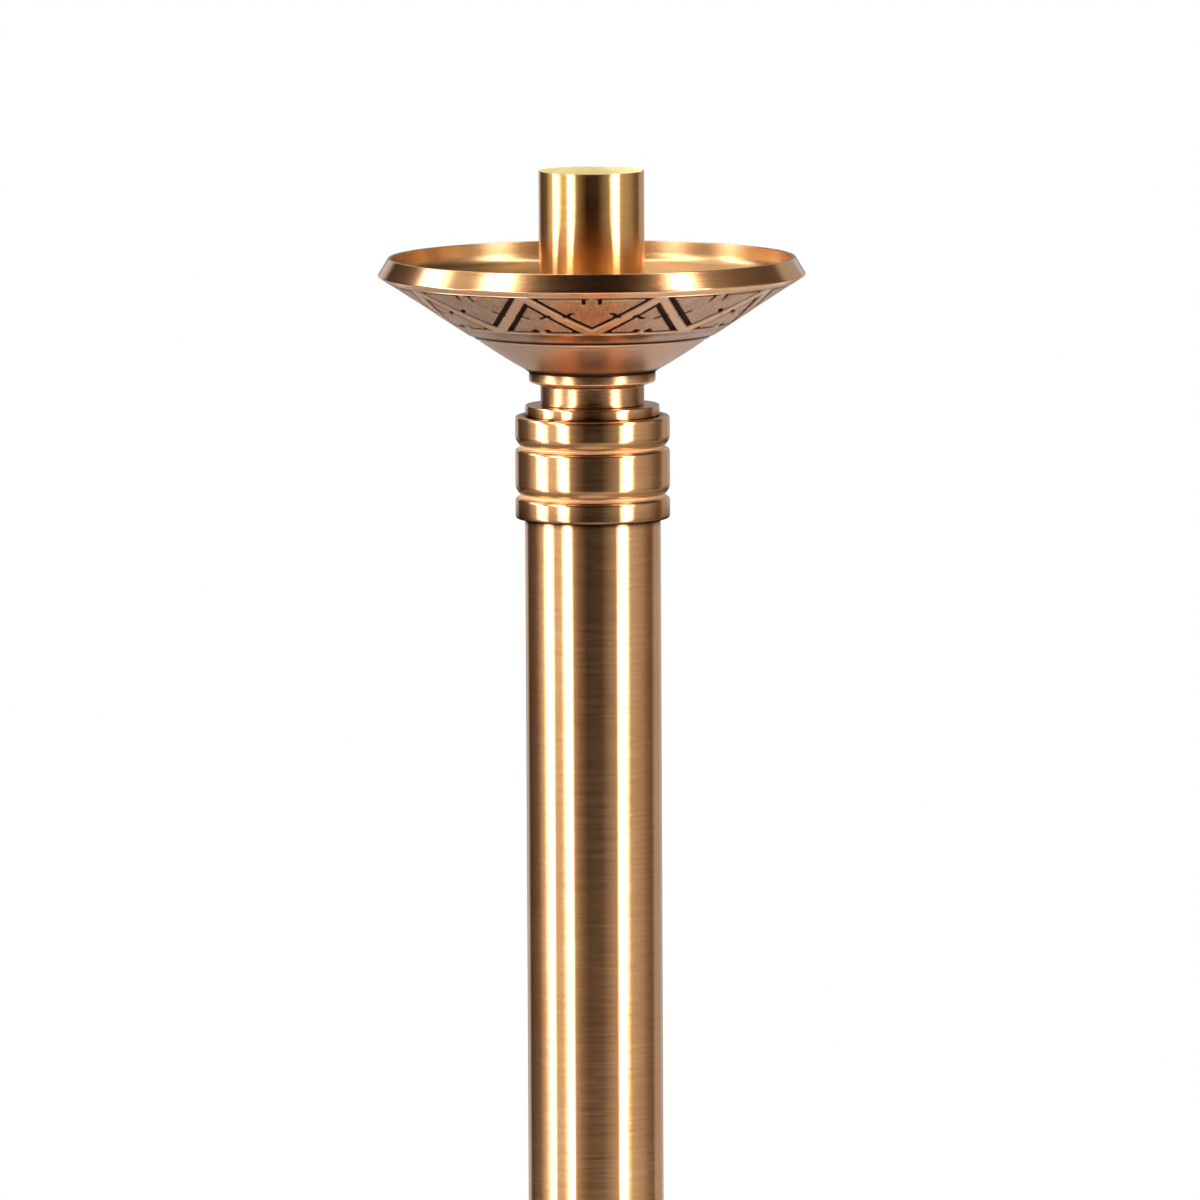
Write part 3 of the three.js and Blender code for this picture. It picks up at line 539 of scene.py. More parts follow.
# The relief: matte panels, rubbed straps and dark channels, so the pattern reads from afar; its brown also
# paints the shade in the pan's border groove
relief_bronze = cast_finish(
    "cast_bronze_matte_with_patina_and_painted_shade", "#C39877", "#906B51", "#301810", "#CDA280", 0.28
)
# The up-facing foot of each collar groove: matte, and painted paler than the bronze, a painted highlight
# that stands for light caught from above
dull_groove = plain_finish("cast_bronze_painted_groove_highlight", "#EFD6B5", "#E6C8A3", 0.55, 1.0, 0.5, 0.01)
# Zinc plate: cool grey with faint spangles, clearly another metal than the bronze
zinc_steel = plain_finish("zinc_plated_steel", "#C9CBCC", "#B4B7BA", 0.32, 1.0, 3.0, 0.02)
# Grey iron as cast: dark, rough and grainy
cast_iron = plain_finish("grey_cast_iron_as_cast", "#4E4E50", "#3A3A3C", 0.7, 0.9, 1.2, 0.2)
# Moulded rubber: black without gloss, with a fine skin
black_rubber = plain_finish("moulded_rubber", "#262626", "#1D1D1D", 0.75, 0.0, 0.8, 0.05)

# Socket

socket_z = base_of("socket_tube")
socket_length = height_of("socket_tube")
tube_middle = (SOCKET_BORE + SOCKET_RADIUS) / 2  # the two finishes meet on the tube's edges
socket_outside = rounded([
    (tube_middle, 0.0), (SOCKET_RADIUS, 0.0), (SOCKET_RADIUS, socket_length, 0.24),
    (tube_middle + 0.05, socket_length),
], closed=False)
socket_inside = rounded([
    (tube_middle, socket_length), (SOCKET_BORE, socket_length, 0.3), (SOCKET_BORE, 0.0),
    (tube_middle - 0.05, 0.0),
], closed=False)
make_piece(
    "candle_socket_tube",
    [turned(socket_outside, lift=socket_z), turned(socket_inside, lift=socket_z, finish=1)],
    [satin_brass, pickled_brass], "socket", "socket_tube",
)

plug_hole = PLUG_THREAD + DRILL_POINT
plug_profile = rounded([
    (0.0, plug_hole), (ROD_BORE, PLUG_THREAD), (ROD_BORE, 0.0, 0.4),
    (PLUG_RADIUS, 0.0, 0.3), (PLUG_RADIUS, PLUG_HEIGHT, 0.5), (0.0, PLUG_HEIGHT),
], closed=False)
make_piece(
    "candle_socket_floor", [turned(plug_profile[1:-1], lift=socket_z)],
    [satin_brass], "socket", "socket_floor",
    poles=(socket_z + plug_hole, socket_z + PLUG_HEIGHT),
)

# Drip pan

pan_z = base_of("drip_pan")
pan_length = band_frame(PAN_BAND)[2]
LOWER_CONE = (on_band(PAN_BAND, pan_length, -PAN_CONE_STEP), (PAN_SEAT, PAN_SEAT_CHAMFER))
lower_length = band_frame(LOWER_CONE)[2]
pan_points, pan_depth = relief_belt(PAN_BAND, PAN_BORDERS, PAN_STRAP, PAN_CHANNEL)
pan_points[..., 2] += pan_z
bulge = [
    on_band(LOWER_CONE, lower_length * share, PAN_CONE_BULGE * 4 * share * (1 - share))
    for share in (0.8, 0.6, 0.4, 0.2)
]
# Belts meet on a flat: one stops a little before the next begins
rim_edge, lip_outside, lip_inside = (PAN_RIM, PAN_EDGE), (PAN_LIP, PAN_HEIGHT), (PAN_INSIDE, PAN_HEIGHT)
pan_ledge = rounded([
    on_band(PAN_BAND, PAN_BORDERS[0] - MARGIN),
    (*PAN_BAND[0], 0.4),
    between(PAN_BAND[0], rim_edge, 0.45),
], closed=False)
pan_upper = rounded([
    between(PAN_BAND[0], rim_edge, 0.5),
    (*rim_edge, 1.0),
    (*lip_outside, 0.45),
    between(lip_outside, lip_inside, 0.5),
], closed=False)
dish_top = down_to(PAN_BAND, -PAN_WALL, radius=PAN_INSIDE - PAN_TAPER)
dish_foot = down_to(LOWER_CONE, -PAN_WALL, height=PAN_FLOOR)
pan_dish = rounded([
    between(lip_outside, lip_inside, 0.55),
    (*lip_inside, 0.4),
    (*on_band(PAN_BAND, dish_top, -PAN_WALL), 2.2),
    (*on_band(PAN_BAND, pan_length, -PAN_WALL), 4.0),
    (*on_band(LOWER_CONE, dish_foot, -PAN_WALL), 2.0),
    (ROD_BORE, PAN_FLOOR, 0.4), (ROD_BORE, 0.0, 0.4), (PAN_SEAT - 2 * PAN_SEAT_CHAMFER, 0.0),
], closed=False)
pan_groove = on_band(PAN_BAND, pan_length - BORDER_GROOVE / 2, -BORDER_GROOVE)
pan_lower = rounded([
    (PAN_SEAT - 0.9, 0.0),
    (PAN_SEAT - PAN_SEAT_CHAMFER, 0.0, 0.1),
    (PAN_SEAT, PAN_SEAT_CHAMFER, 0.15),
    *[(*point, 1.5) for point in bulge],
    *[(*on_band(LOWER_CONE, down, out), fillet) for down, out, fillet in CONE_BEAD],
], closed=False, steps=3)
pan_border = rounded([
    *[(*on_band(LOWER_CONE, down), fillet) for down, fillet in BELOW_GROOVE],
    (*pan_groove, 0.15),
    *[(*on_band(PAN_BAND, pan_length - up), fillet) for up, fillet in ABOVE_GROOVE],
    on_band(PAN_BAND, pan_length - PAN_BORDERS[1] + MARGIN),
], closed=False)
# The first two creases paint the groove and the cone just below it in the patina's dark brown, a painted
# # shadow line under the band. The last crease only keeps the border from the rubbed tone
border_creases = [
    (*pan_groove, 2.6, 1.0), (*on_band(LOWER_CONE, 0.8, -0.3), 1.6, 1.0), (*pan_groove, 30.0, 0.15),
]
make_piece(
    "drip_pan_with_relief",
    [
        (pan_points, 1, pan_depth),
        turned(pan_ledge, lift=pan_z, finish=1),
        turned(pan_upper, lift=pan_z),
        turned(pan_dish, lift=pan_z, finish=3),
        # Painted shade on the cone where it seats on the neck
        turned(pan_lower, lift=pan_z, finish=2, creases=[(PAN_SEAT, 0.3, 1.3, 1.0)]),
        turned(pan_border, lift=pan_z, finish=1, creases=border_creases),
    ],
    [turned_bronze, relief_bronze, dull_bronze, inner_bronze], "pan", "drip_pan",
)

# Neck

neck_z = base_of("neck_spool") + SPIGOT_HEIGHT
waist_end, ring_bend, ring_foot = RING_UNDERSIDE
neck_profile = rounded([
    (ROD_BORE, -SPIGOT_HEIGHT, 0.3), (SPIGOT_RADIUS, -SPIGOT_HEIGHT, 0.3), (SPIGOT_RADIUS, 0.0, 0.1),
    (NECK_WAIST, 0.0, 0.15), (NECK_WAIST, waist_end, 0.4),
    (NECK_RING - NECK_RING_TAPER, ring_bend, 0.4), (NECK_RING, ring_foot, 0.5),
    (NECK_RING, NECK_HEIGHT, 0.3), (COUNTERBORE_RADIUS, NECK_HEIGHT, 0.3),
    (COUNTERBORE_RADIUS, COUNTERBORE_FLOOR, 0.2), (ROD_BORE, COUNTERBORE_FLOOR, 0.2),
])
# Painted shade, dark brown: on the capital, under the ring, and under the pan
neck_creases = [
    (NECK_WAIST, 0.0, 0.9, 0.3), (NECK_WAIST + 1.4, waist_end + 0.3, 2.6, 0.9),
    (NECK_RING, NECK_HEIGHT, 0.9, 1.0),
]
make_piece(
    "neck_spool_turned", [turned(neck_profile, lift=neck_z, creases=neck_creases)],
    [neck_bronze], "stand", "neck_spool",
)

# Capital and foot collar


def groove_line(start):
    """A turned groove between two round shoulders: r = R - D (1 - |u|)^n.

    Here u runs from -1 to 0 to 1 up the two flanks. The upper one's larger n rounds its shoulder.
    """
    u = np.linspace(-1, 1, GROOVE_POINTS)
    height = start + LOWER_FLANK + u * np.where(u < 0, LOWER_FLANK, UPPER_FLANK)
    depth = GROOVE_DEPTH * (1 - np.abs(u)) ** np.where(u < 0, LOWER_CURVE, UPPER_CURVE)
    return np.stack([COLLAR_RADIUS - depth, height], 1)


def groove_belts(line):
    """A groove as (profile, finish): its foot, on the side that faces up, gets the matte and paler finish,
    a painted highlight.
    """
    return [(line[:DULL_FROM], 0), (line[DULL_FROM:DULL_TO], 1), (line[DULL_TO:], 0)]


column_hole, spigot_hole = COLUMN_RADIUS + SLIP, SPIGOT_RADIUS + SLIP
spigot_floor, column_stop = COLLAR_HEIGHT - SPIGOT_HEIGHT - SEAM, COLUMN_ENTERS + SEAM
lower_groove, upper_groove = (groove_line(start) for start in GROOVE_STARTS)
ring_by_column = rounded([
    (column_hole, 5.0), (column_hole, 0.0, 0.2),
    (COLLAR_RADIUS, 0.0, 1.4), (COLLAR_RADIUS, GROOVE_STARTS[0] - CLEAR),
], closed=False)
drum = np.linspace(lower_groove[-1] + (0, CLEAR), upper_groove[0] - (0, CLEAR), 8)
top_and_inside = rounded([
    (COLLAR_RADIUS, TOP_RING), (COLLAR_RADIUS, COLLAR_STEP, 1.8),
    (COLLAR_STEP_RADIUS, COLLAR_STEP, 0.3), (COLLAR_STEP_RADIUS, COLLAR_HEIGHT, 0.6),
    (spigot_hole, COLLAR_HEIGHT, 0.3), (spigot_hole, spigot_floor, 0.3),
    (ROD_BORE, spigot_floor, 0.3), (ROD_BORE, column_stop, 0.3),
    (column_hole, column_stop, 0.3), (column_hole, 6.0),
], closed=False)
collar_parts = [
    (ring_by_column, 0), *groove_belts(lower_groove), (drum, 0), *groove_belts(upper_groove),
    (top_and_inside, 0),
]
# Painted shade, dark brown: by the column, in the corner of the step, and on the upper flank of each
# groove
collar_creases = [
    (28.2, 0.2, 2.6, 1.0), (COLLAR_STEP_RADIUS, COLLAR_STEP, 0.8, 1.0),
    *[(28.0, start + 4.5, 2.5, 0.76) for start in GROOVE_STARTS],
]


def collar(name, node, upside_down=False):
    """The turning at one end of the column: a step, two rings and a drum, with grooves between."""
    parts, creases = collar_parts, collar_creases
    if upside_down:
        flip, lift = np.array((1, -1)), (0, COLLAR_HEIGHT)
        parts = [((profile * flip + lift)[::-1], finish) for profile, finish in parts[::-1]]
        creases = [(r, COLLAR_HEIGHT - h, reach, strength) for r, h, reach, strength in creases]
    base = base_of(node)
    belts = [turned(profile, lift=base, finish=finish, creases=creases) for profile, finish in parts]
    make_piece(name, belts, [satin_bronze, dull_groove], "stand", node)


collar("capital_turned", "capital")
collar("foot_collar_turned", "foot_collar", upside_down=True)

# Column

column_z, column_length = base_of("column_tube"), height_of("column_tube")
column_shown = (COLUMN_ENTERS, base_of("capital") - column_z)  # from where to where it is seen
column_profile = rounded([
    (COLUMN_BORE, 0.0, 0.3), (COLUMN_RADIUS, 0.0, 0.3),
    *[(COLUMN_RADIUS, column_shown[0] + up) for up in BESIDE_COLLAR],
    *[(COLUMN_RADIUS, column_shown[1] - down) for down in BESIDE_COLLAR[::-1]],
    (COLUMN_RADIUS, column_length, 0.3), (COLUMN_BORE, column_length, 0.3),
])
# Painted shade where the column goes into each collar
column_creases = [(COLUMN_RADIUS, end, 2.4, 1.0) for end in column_shown]
make_piece(
    "column_tube_drawn", [turned(column_profile, lift=column_z, creases=column_creases)],
    [satin_bronze], "stand", "column_tube",
)

# Foot


def cove_lines():
    """The foot's cove, (1-t)^2 A + 2t(1-t) C + t^2 B, and the line that lies its wall inside it."""
    start = np.array([FOOT_BAND[1][0] - BORDER_GROOVE / 2, FOOT_BAND[1][1]])
    end = np.array([FOOT_SEAT, COVE_TOP])
    across, up = start[0] - FOOT_SEAT, COVE_TOP - start[1]
    bend = np.array([FOOT_SEAT + COVE_CORNER_ACROSS * across, start[1] + COVE_CORNER_UP * up])
    t = np.linspace(0, 1, 25)[:, None]
    outside = (1 - t) ** 2 * start + 2 * t * (1 - t) * bend + t**2 * end
    along = 2 * (1 - t) * (bend - start) + 2 * t * (end - bend)
    along /= np.linalg.norm(along, axis=1, keepdims=True)
    inside = outside + FOOT_WALL * np.stack([-along[:, 1], along[:, 0]], 1)
    return outside, inside[inside[:, 1] < FOOT_HEIGHT - FOOT_CROWN][::-1]


foot_z = base_of("foot_shell")
foot_length = band_frame(FOOT_BAND)[2]
foot_points, foot_depth = relief_belt(FOOT_BAND, FOOT_BORDERS, FOOT_STRAP, FOOT_CHANNEL)
foot_points[..., 2] += foot_z
cove, cove_inside = cove_lines()
border = rounded([
    on_band(FOOT_BAND, foot_length - FOOT_BORDERS[1] + MARGIN),
    (*on_band(FOOT_BAND, foot_length - BORDER_GROOVE), 0.2),
    (*on_band(FOOT_BAND, foot_length - BORDER_GROOVE / 2, -BORDER_GROOVE), 0.2),
    (*cove[0], 0.2),
    tuple(cove[1]),
], closed=False)
crown_underside, spigot_top = FOOT_HEIGHT - FOOT_CROWN, FOOT_HEIGHT + SPIGOT_HEIGHT
crown = rounded([
    tuple(cove[-1]), (FOOT_SEAT, FOOT_HEIGHT, 1.0),
    (SPIGOT_RADIUS, FOOT_HEIGHT, 0.2), (SPIGOT_RADIUS, spigot_top, 0.3),
    (ROD_BORE, spigot_top, 0.3), (ROD_BORE, crown_underside, 0.3),
    (cove_inside[0][0], crown_underside, 0.5), tuple(cove_inside[0] - (0, 0.6)),
], closed=False)
plate_seat = FOOT_INSIDE - PLATE_LEDGE
rim = rounded([
    on_band(FOOT_BAND, foot_length, -FOOT_WALL),
    on_band(FOOT_BAND, down_to(FOOT_BAND, -FOOT_WALL, radius=plate_seat), -FOOT_WALL),
    (plate_seat, PLATE_RECESS, 0.4), (FOOT_INSIDE, PLATE_RECESS, 0.4), (FOOT_INSIDE, 0.0, 0.4),
    (FOOT_RADIUS, 0.0, 0.8), (FOOT_RADIUS, FOOT_RIM, 0.8), (*FOOT_BEVEL_TOP, 0.5), (*FOOT_BAND[0], 0.5),
    on_band(FOOT_BAND, FOOT_BORDERS[0] - MARGIN),
], closed=False)
foot_profile = np.concatenate([border, cove[2:-1], crown, cove_inside[1:], rim])
# The foot's band faces up, so its fine belt runs from the outer to the inner end
make_piece(
    "foot_with_relief",
    [(foot_points[::-1], 1, foot_depth[::-1]), turned(foot_profile, lift=foot_z)],
    [turned_bronze, relief_bronze], "stand", "foot_shell",
)

# Rod

THREAD_PITCH, THREAD_DEPTH = 1.5875, 0.55  # 3/8 in., 16 threads to the inch
THREAD_BELOW, THREAD_ABOVE = 22.0, 28.0  # lengths of the two threaded ends
THREAD_ROW, THREAD_STOP, THREAD_FADE = 0.2, 0.5, 1.5


def threaded_rod(length):
    """The rod's radius for each row and column, and its height for each row.

    On a threaded end r = R - D |2u - 1|, where u is the share of a turn, h / pitch - angle. The thread
    fades out towards the plain middle, and a chamfer cuts both ends.
    """
    below = np.arange(0.0, THREAD_BELOW, THREAD_ROW)
    above = np.arange(length - THREAD_ABOVE, length, THREAD_ROW)
    height = np.concatenate([below, above, [length]])[:, None]
    angle = (np.arange(ROD_COLUMNS) / ROD_COLUMNS)[None, :]
    turn = (height / THREAD_PITCH - angle) % 1.0
    into_lower = THREAD_BELOW - THREAD_STOP - height
    into_upper = height - length + THREAD_ABOVE - THREAD_STOP
    strength = smoothstep(np.where(height < length / 2, into_lower, into_upper) / THREAD_FADE)
    cut = THREAD_DEPTH * np.abs(2 * turn - 1) * strength
    from_end = np.minimum(height, length - height)
    return np.minimum(ROD_RADIUS - cut, ROD_RADIUS - ROD_CHAMFER + from_end), height


rod_z, rod_length = base_of("tie_rod"), height_of("tie_rod")
rod_radius, rod_height = threaded_rod(rod_length)
make_piece(
    "tie_rod_threaded", [(around(rod_radius, rod_height + rod_z, ROD_COLUMNS), 0, 0.0)],
    [zinc_steel], "stand", "tie_rod", poles=(rod_z, rod_z + rod_length),
)

# Nuts, washers, plate

NUT_CONE, NUT_FACE_INSET, TAN_60 = 0.9, 0.1, 1.73
NUT_FACE, NUT_MOUTH, NUT_MOUTH_DEPTH = 5.6, 5.2, 0.4  # the face's inner edge, and the bore's chamfer


def hexagon_nut(name, node):
    """A nut round a plain bore: a hexagon that a cone of 30 degrees cuts at both ends."""
    base, height = base_of(node), height_of(node)
    angle = np.arange(NUT_COLUMNS)[None, :] * 2 * np.pi / NUT_COLUMNS - np.pi / 2
    hexagon = NUT_FLATS / 2 / np.cos(angle % (np.pi / 3) - np.pi / 6)
    z = np.concatenate([np.linspace(0, NUT_CONE, 7), np.linspace(height - NUT_CONE, height, 7)])[:, None]
    cone = NUT_FLATS / 2 - NUT_FACE_INSET + TAN_60 * np.minimum(z, height - z)
    bore = np.array([
        [NUT_FACE, height], [NUT_MOUTH, height], [ROD_BORE, height - NUT_MOUTH_DEPTH],
        [ROD_BORE, NUT_MOUTH_DEPTH], [NUT_MOUTH, 0.0], [NUT_FACE, 0.0],
    ])
    outside = around(np.minimum(hexagon, cone), z + base, NUT_COLUMNS)
    belts = [(outside, 0, 0.0), turned(bore, NUT_COLUMNS, base)]
    make_piece(name, belts, [zinc_steel], "stand", node)


hexagon_nut("foot_nut_hexagon", "foot_nut")
hexagon_nut("neck_nut_hexagon", "neck_nut")

washer = rounded([
    (ROD_BORE, 0.0), (WASHER_RADIUS, 0.0, 0.2), (WASHER_RADIUS, WASHER_THICKNESS, 0.3),
    (ROD_BORE, WASHER_THICKNESS),
])
plate = rounded([
    (ROD_BORE, 0.0), (PLATE_RADIUS, 0.0, 0.4), (PLATE_RADIUS, PLATE_THICKNESS, 0.4),
    (ROD_BORE, PLATE_THICKNESS),
])
for name, node, profile, columns in (
    ("foot_washer_flat", "foot_washer", washer, WASHER_COLUMNS),
    ("neck_washer_flat", "neck_washer", washer, WASHER_COLUMNS),
    ("bottom_plate_flat", "bottom_plate", plate, TURNED_COLUMNS),
):
    make_piece(name, [turned(profile, columns, base_of(node))], [zinc_steel], "stand", node)

# Bumpers and their screws

RECESS_DEPTH, RECESS_RADIUS, RECESS_HALF_SLOT, RECESS_EDGE = 1.1, 1.9, 0.45, 0.3

bumper = rounded([
    (BUMPER_RECESS, 0.0, 0.3), (BUMPER_FOOT, 0.0, 1.0), (BUMPER_RADIUS, BUMPER_HEIGHT, 0.6),
    (BUMPER_HOLE, BUMPER_HEIGHT, 0.2), (BUMPER_HOLE, BUMPER_RECESS_DEPTH, 0.2),
    (BUMPER_RECESS, BUMPER_RECESS_DEPTH, 0.2),
])


def screw_belts():
    """A pan-head screw, head down: the underside of its head with a cross recess, and the rest.

    The recess is as deep as a smooth step of the distance to two crossed slots.
    """
    radius = np.linspace(0.25, 2.6, 12)[:, None]
    angle = (np.arange(BUMPER_COLUMNS) * 2 * np.pi / BUMPER_COLUMNS)[None, :]
    off_slots = np.minimum(np.abs(radius * np.sin(angle)), np.abs(radius * np.cos(angle)))
    outside = np.maximum(off_slots - RECESS_HALF_SLOT, radius - RECESS_RADIUS)
    head = around(radius, RECESS_DEPTH * smoothstep(0.5 - outside / RECESS_EDGE), BUMPER_COLUMNS)
    rest = rounded([
        (2.65, 0.0), (SCREW_HEAD, 0.0, 0.5), (SCREW_HEAD, SCREW_HEAD_HEIGHT, 0.2),
        (SCREW_RADIUS, SCREW_HEAD_HEIGHT, 0.1), (SCREW_RADIUS, SCREW_LENGTH - 1.0, 0.2),
        (0.05, SCREW_LENGTH),
    ], closed=False)
    return [(head, 0, 0.0), (around(rest[:, 0], rest[:, 1], BUMPER_COLUMNS), 0, 0.0)]


for number in range(1, 5):
    low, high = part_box(f"foot_bumper_{number}")
    middle = ((low.x + high.x) / 2 / MM, (low.y + high.y) / 2 / MM)
    make_piece(
        f"bumper_{number}_moulded", [turned(bumper, BUMPER_COLUMNS)],
        [black_rubber], "stand", f"foot_bumper_{number}", offset=(*middle, 0.0),
    )
    make_piece(
        f"bumper_screw_{number}_pan_head", screw_belts(),
        [zinc_steel], "stand", f"bumper_screw_{number}",
        poles=(RECESS_DEPTH, SCREW_LENGTH), offset=(*middle, base_of(f"bumper_screw_{number}")),
    )

# Ballast, which keeps its CAD shape

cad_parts["ballast_weight"].data.materials.clear()
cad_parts["ballast_weight"].data.materials.append(cast_iron)

# Studio

# The light round the object, as (azimuth in degrees, radiance), blended from one to the next. Azimuth
# 0 is towards the camera, and 90 to the right. Each row has three strip lamps, with grey boards and
# brown felt between.
LOW_LIGHT = (
    (-180, 0.3), (-166, 0.3), (-162, 0.7), (-148, 0.55), (-141, 0.06), (-116, 0.14), (-106, 0.2),
    (-98, 0.6), (-84, 1.0), (-81.5, 10.0), (-72.5, 10.0), (-70, 0.78), (-48, 0.8), (-45, 10.0),
    (-37.5, 10.0), (-34.5, 0.6), (-22, 0.2), (-10, 0.015), (12, 0.02), (40, 0.5), (43.5, 10.0),
    (53, 10.0), (56, 0.7), (90, 0.38), (100, 0.22), (116, 0.14), (124, 0.5), (150, 0.45), (162, 0.7),
    (166, 0.3), (180, 0.3),
)
HIGH_LIGHT = (
    (-180, 0.5), (-165, 0.8), (-149, 0.8), (-140, 0.15), (-126, 0.3), (-118, 0.8), (-115, 10.0),
    (-99, 10.0), (-96, 0.45), (-76, 0.45), (-72, 10.0), (-59, 10.0), (-56, 0.9), (-50, 0.3),
    (-38, 0.08), (-20, 0.02), (20, 0.02), (40, 0.06), (50, 0.2), (55.5, 0.9), (58, 10.0), (68, 10.0),
    (71, 0.7), (80, 0.4), (100, 0.2), (125, 0.08), (140, 0.12), (152, 0.35), (180, 0.5),
)
BRIGHTEST = max(radiance for _, radiance in LOW_LIGHT)
FELT_BELOW, FELT_TINT = 0.3, (1.0, 0.84, 0.72)  # what is darker than this is felt, and its colour
# Where the high row takes over, as the sine of the height seen from the middle
HIGH_FROM, HIGH_TO = 0.34, 0.5
# The soft ceiling: its direction, the cosines of the angles where it begins and is full, its radiance
TOP_DIRECTION = (-0.46, 0.3, 0.836)
TOP_FROM, TOP_TO, TOP_RADIANCE = 0.87, 0.93, 1.2
DOME_RADIUS, DOME_TOP, DOME_MIDDLE = 3.0, 3.6, 1.0
DOME_ROWS, DOME_COLUMNS = 25, 96
# The low lamps lean: the point their azimuth is counted from goes back by so many metres between two
# heights, and by so many more for each metre above the middle
LOW_LEAN, LEAN_FROM, LEAN_TO, HIGH_LEAN = 0.45, 0.5, 0.86, 0.24


def light_row(tree, across, forward, row):
    """The colour of a row of light at azimuth atan2(across, forward), as a share of the brightest."""
    azimuth = add(tree, "Math", {0: across, 1: forward}, operation="ARCTAN2")
    along_row = add(tree, "MapRange", {"Value": azimuth, "From Min": -np.pi, "From Max": np.pi})
    colour = add(tree, "ValToRGB", {"Fac": along_row}, out="Color")
    stops = colour.node.color_ramp.elements
    for i, (degrees, radiance) in enumerate(row):
        stop = stops[i] if i < 2 else stops.new(1.0)
        stop.position = (degrees + 180) / 360
        tint = FELT_TINT if radiance < FELT_BELOW else WHITE[:3]
        stop.color = (*[radiance / BRIGHTEST * part for part in tint], 1.0)
    return colour


def lamps_and_felt():
    """The dome's light: the low row, the high row over it, and the ceiling over both."""
    material, tree = new_material("studio_lamps_and_felt")
    place = add(tree, "TexCoord", out="Object")
    x, y, z = add(tree, "SeparateXYZ", {0: place}).node.outputs
    above = add(tree, "Math", {0: z, 1: DOME_MIDDLE}, operation="SUBTRACT")
    raised = add(tree, "Math", {0: above, 1: 0.0}, operation="MAXIMUM")
    low_lean = add(tree, "MapRange", {
        "Value": z, "From Min": LEAN_FROM, "From Max": LEAN_TO, "To Max": LOW_LEAN,
    })
    leant = add(tree, "Math", {0: raised, 1: HIGH_LEAN, 2: low_lean}, operation="MULTIPLY_ADD")
    low_forward = add(tree, "Math", {0: leant, 1: y}, operation="SUBTRACT")
    high_forward = add(tree, "Math", {0: y, 1: -1.0}, operation="MULTIPLY")
    from_middle = add(tree, "CombineXYZ", {"X": x, "Y": y, "Z": above})
    direction = add(tree, "VectorMath", {0: from_middle}, operation="NORMALIZE")
    upward = add(tree, "SeparateXYZ", {0: direction}, out="Z")
    to_ceiling = add(
        tree, "VectorMath", {0: direction, 1: TOP_DIRECTION}, out="Value", operation="DOT_PRODUCT"
    )
    light = light_row(tree, x, low_forward, LOW_LIGHT)
    high_row = light_row(tree, x, high_forward, HIGH_LIGHT)
    ceiling = (*[TOP_RADIANCE / BRIGHTEST] * 3, 1.0)
    for height, begin, full, layer in (
        (upward, HIGH_FROM, HIGH_TO, high_row), (to_ceiling, TOP_FROM, TOP_TO, ceiling),
    ):
        share = add(tree, "MapRange", {"Value": height, "From Min": begin, "From Max": full}, **SMOOTH)
        light = add(tree, "Mix", {"Factor": share, MIX_A: light, MIX_B: layer}, **COLOUR_MIX)
    glow = add(tree, "Emission", {"Color": light, "Strength": BRIGHTEST})
    add(tree, "OutputMaterial", {"Surface": glow})
    return material


rise = np.linspace(0, np.pi / 2, DOME_ROWS)[:-1]
dome_points = around(DOME_RADIUS * np.cos(rise), DOME_TOP * np.sin(rise), DOME_COLUMNS)
dome_index = np.arange(dome_points[..., 0].size).reshape(dome_points.shape[:2])
top_ring = dome_index[-1]
dome_cap = np.stack([top_ring, np.roll(top_ring, -1), np.full(DOME_COLUMNS, dome_index.size)], 1)
dome_mesh = bpy.data.meshes.new("studio_dome")
dome_mesh.from_pydata(
    [*dome_points.reshape(-1, 3).tolist(), (0, 0, DOME_TOP)], [],
    [*quads(dome_index).tolist(), *dome_cap.tolist()],
)
dome_mesh.materials.append(lamps_and_felt())
dome = new_object("studio_dome", dome_mesh)
dome.visible_camera = False
dome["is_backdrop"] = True

# The paper on the floor, in metres. Near the object it takes the shadow. The distances are those at
# which it begins to turn as white as the background, and is so.
HALF_FLOOR = 40.0
PAPER_COLOUR = "#F2F1EF"
WHITE_TO_CAMERA, WHITE_IN_METAL = (0.6, 2.0), (1.8, 2.95)
# Two things show only in metal: a card shades the paper, by so much at each side, and a round
# reflector lies in front, full and gone at two distances from its middle.
CARD_SIDE, CARD_SHADE = 0.3, (0.46, 0.12)
REFLECTOR_MIDDLE, REFLECTOR_FULL, REFLECTOR_GONE = (0.0, -0.6, 0.0), 0.3, 0.5
REFLECTOR_RADIANCE = 1.6


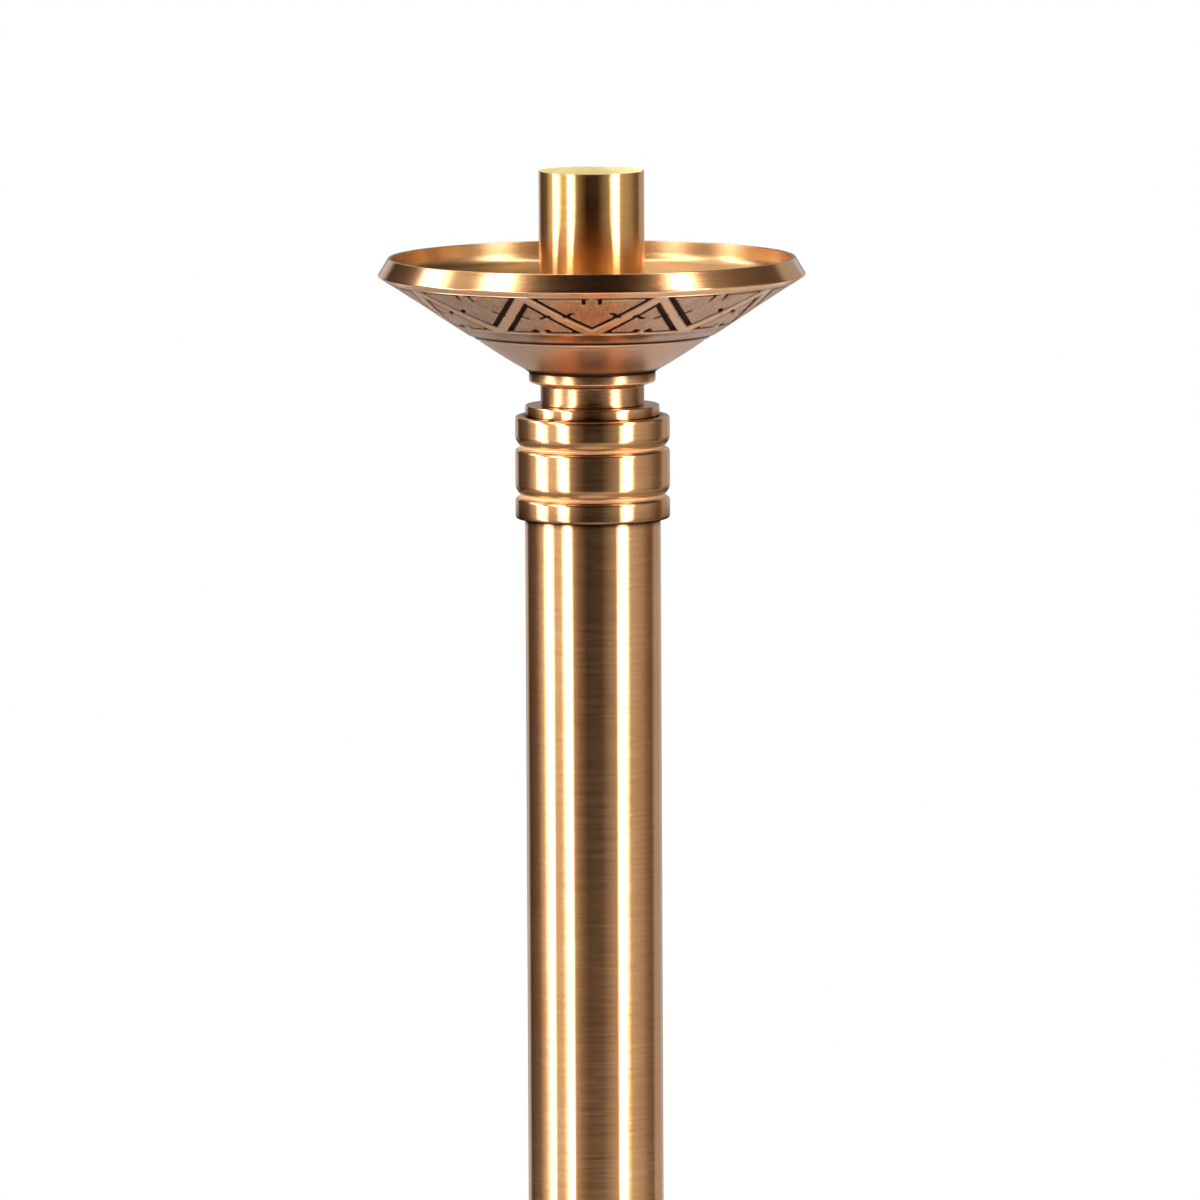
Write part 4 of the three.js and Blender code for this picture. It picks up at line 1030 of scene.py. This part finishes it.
def background_paper():
    """The floor's paper."""
    material, tree = new_material("white_background_paper")
    place = add(tree, "TexCoord", out="Object")
    distance = add(tree, "VectorMath", {0: place}, out="Value", operation="LENGTH")
    rays = add(tree, "LightPath").node.outputs
    glossy = rays["Is Glossy Ray"]
    white_parts = []
    for kind_of_ray, begin, full in (
        (rays["Is Camera Ray"], *WHITE_TO_CAMERA), (glossy, *WHITE_IN_METAL),
    ):
        far = add(tree, "MapRange", {"Value": distance, "From Min": begin, "From Max": full}, **SMOOTH)
        white_parts.append(add(tree, "Math", {0: kind_of_ray, 1: far}, operation="MULTIPLY"))
    whiteness = add(tree, "Math", {0: white_parts[0], 1: white_parts[1]}, operation="MAXIMUM")
    from_reflector = add(
        tree, "VectorMath", {0: place, 1: REFLECTOR_MIDDLE}, out="Value", operation="DISTANCE"
    )
    on_reflector = add(tree, "MapRange", {
        "Value": from_reflector, "From Min": REFLECTOR_GONE, "From Max": REFLECTOR_FULL,
    }, **SMOOTH)
    side = add(tree, "SeparateXYZ", {0: place}, out="X")
    card = add(tree, "MapRange", {
        "Value": side, "From Min": -CARD_SIDE, "From Max": CARD_SIDE,
        "To Min": CARD_SHADE[0], "To Max": CARD_SHADE[1],
    })
    reflector_seen, card_seen = (
        add(tree, "Math", {0: thing, 1: glossy}, operation="MULTIPLY") for thing in (on_reflector, card)
    )
    paper = linear(PAPER_COLOUR)
    tone = add(tree, "Mix", {"Factor": card_seen, MIX_A: paper, MIX_B: BLACK}, **COLOUR_MIX)
    matte = add(tree, "BsdfDiffuse", {"Color": tone})
    white = add(tree, "Emission", {"Color": WHITE, "Strength": 1.0})
    silver = add(tree, "Emission", {"Color": WHITE, "Strength": REFLECTOR_RADIANCE})
    near = add(tree, "MixShader", {0: reflector_seen, 1: matte, 2: silver})
    both = add(tree, "MixShader", {0: whiteness, 1: near, 2: white})
    add(tree, "OutputMaterial", {"Surface": both})
    return material


floor_corners = [(x * HALF_FLOOR, y * HALF_FLOOR, 0) for x, y in ((-1, -1), (1, -1), (1, 1), (-1, 1))]
floor_mesh = bpy.data.meshes.new("studio_floor")
floor_mesh.from_pydata(floor_corners, [], [(0, 1, 2, 3)])
floor_mesh.materials.append(background_paper())
floor = new_object("studio_floor", floor_mesh)
floor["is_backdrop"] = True

world = bpy.data.worlds.new("white_studio")
bpy.context.scene.world = world
world.use_nodes = True
world.node_tree.nodes["Background"].inputs["Color"].default_value = WHITE

# Camera

CAMERA_PLACE = (0.0025, -5.0, 1.5073)
PITCH_DOWN, ROLL = 6.29, 0.27  # degrees
LENS, SENSOR = 402.5, 36.0  # millimetres
camera = new_object("camera", bpy.data.cameras.new("camera"))
bpy.context.scene.camera = camera
camera.data.lens = LENS
camera.data.sensor_width = SENSOR
camera.data.clip_start, camera.data.clip_end = 0.1, 100.0
camera.location = CAMERA_PLACE
camera.rotation_mode = "QUATERNION"
pitch = Euler((np.radians(90 - PITCH_DOWN), 0, 0)).to_quaternion()
camera.rotation_quaternion = pitch @ Quaternion((0, 0, 1), -np.radians(ROLL))

bpy.context.scene.view_settings.view_transform = "Standard"

low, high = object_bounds()
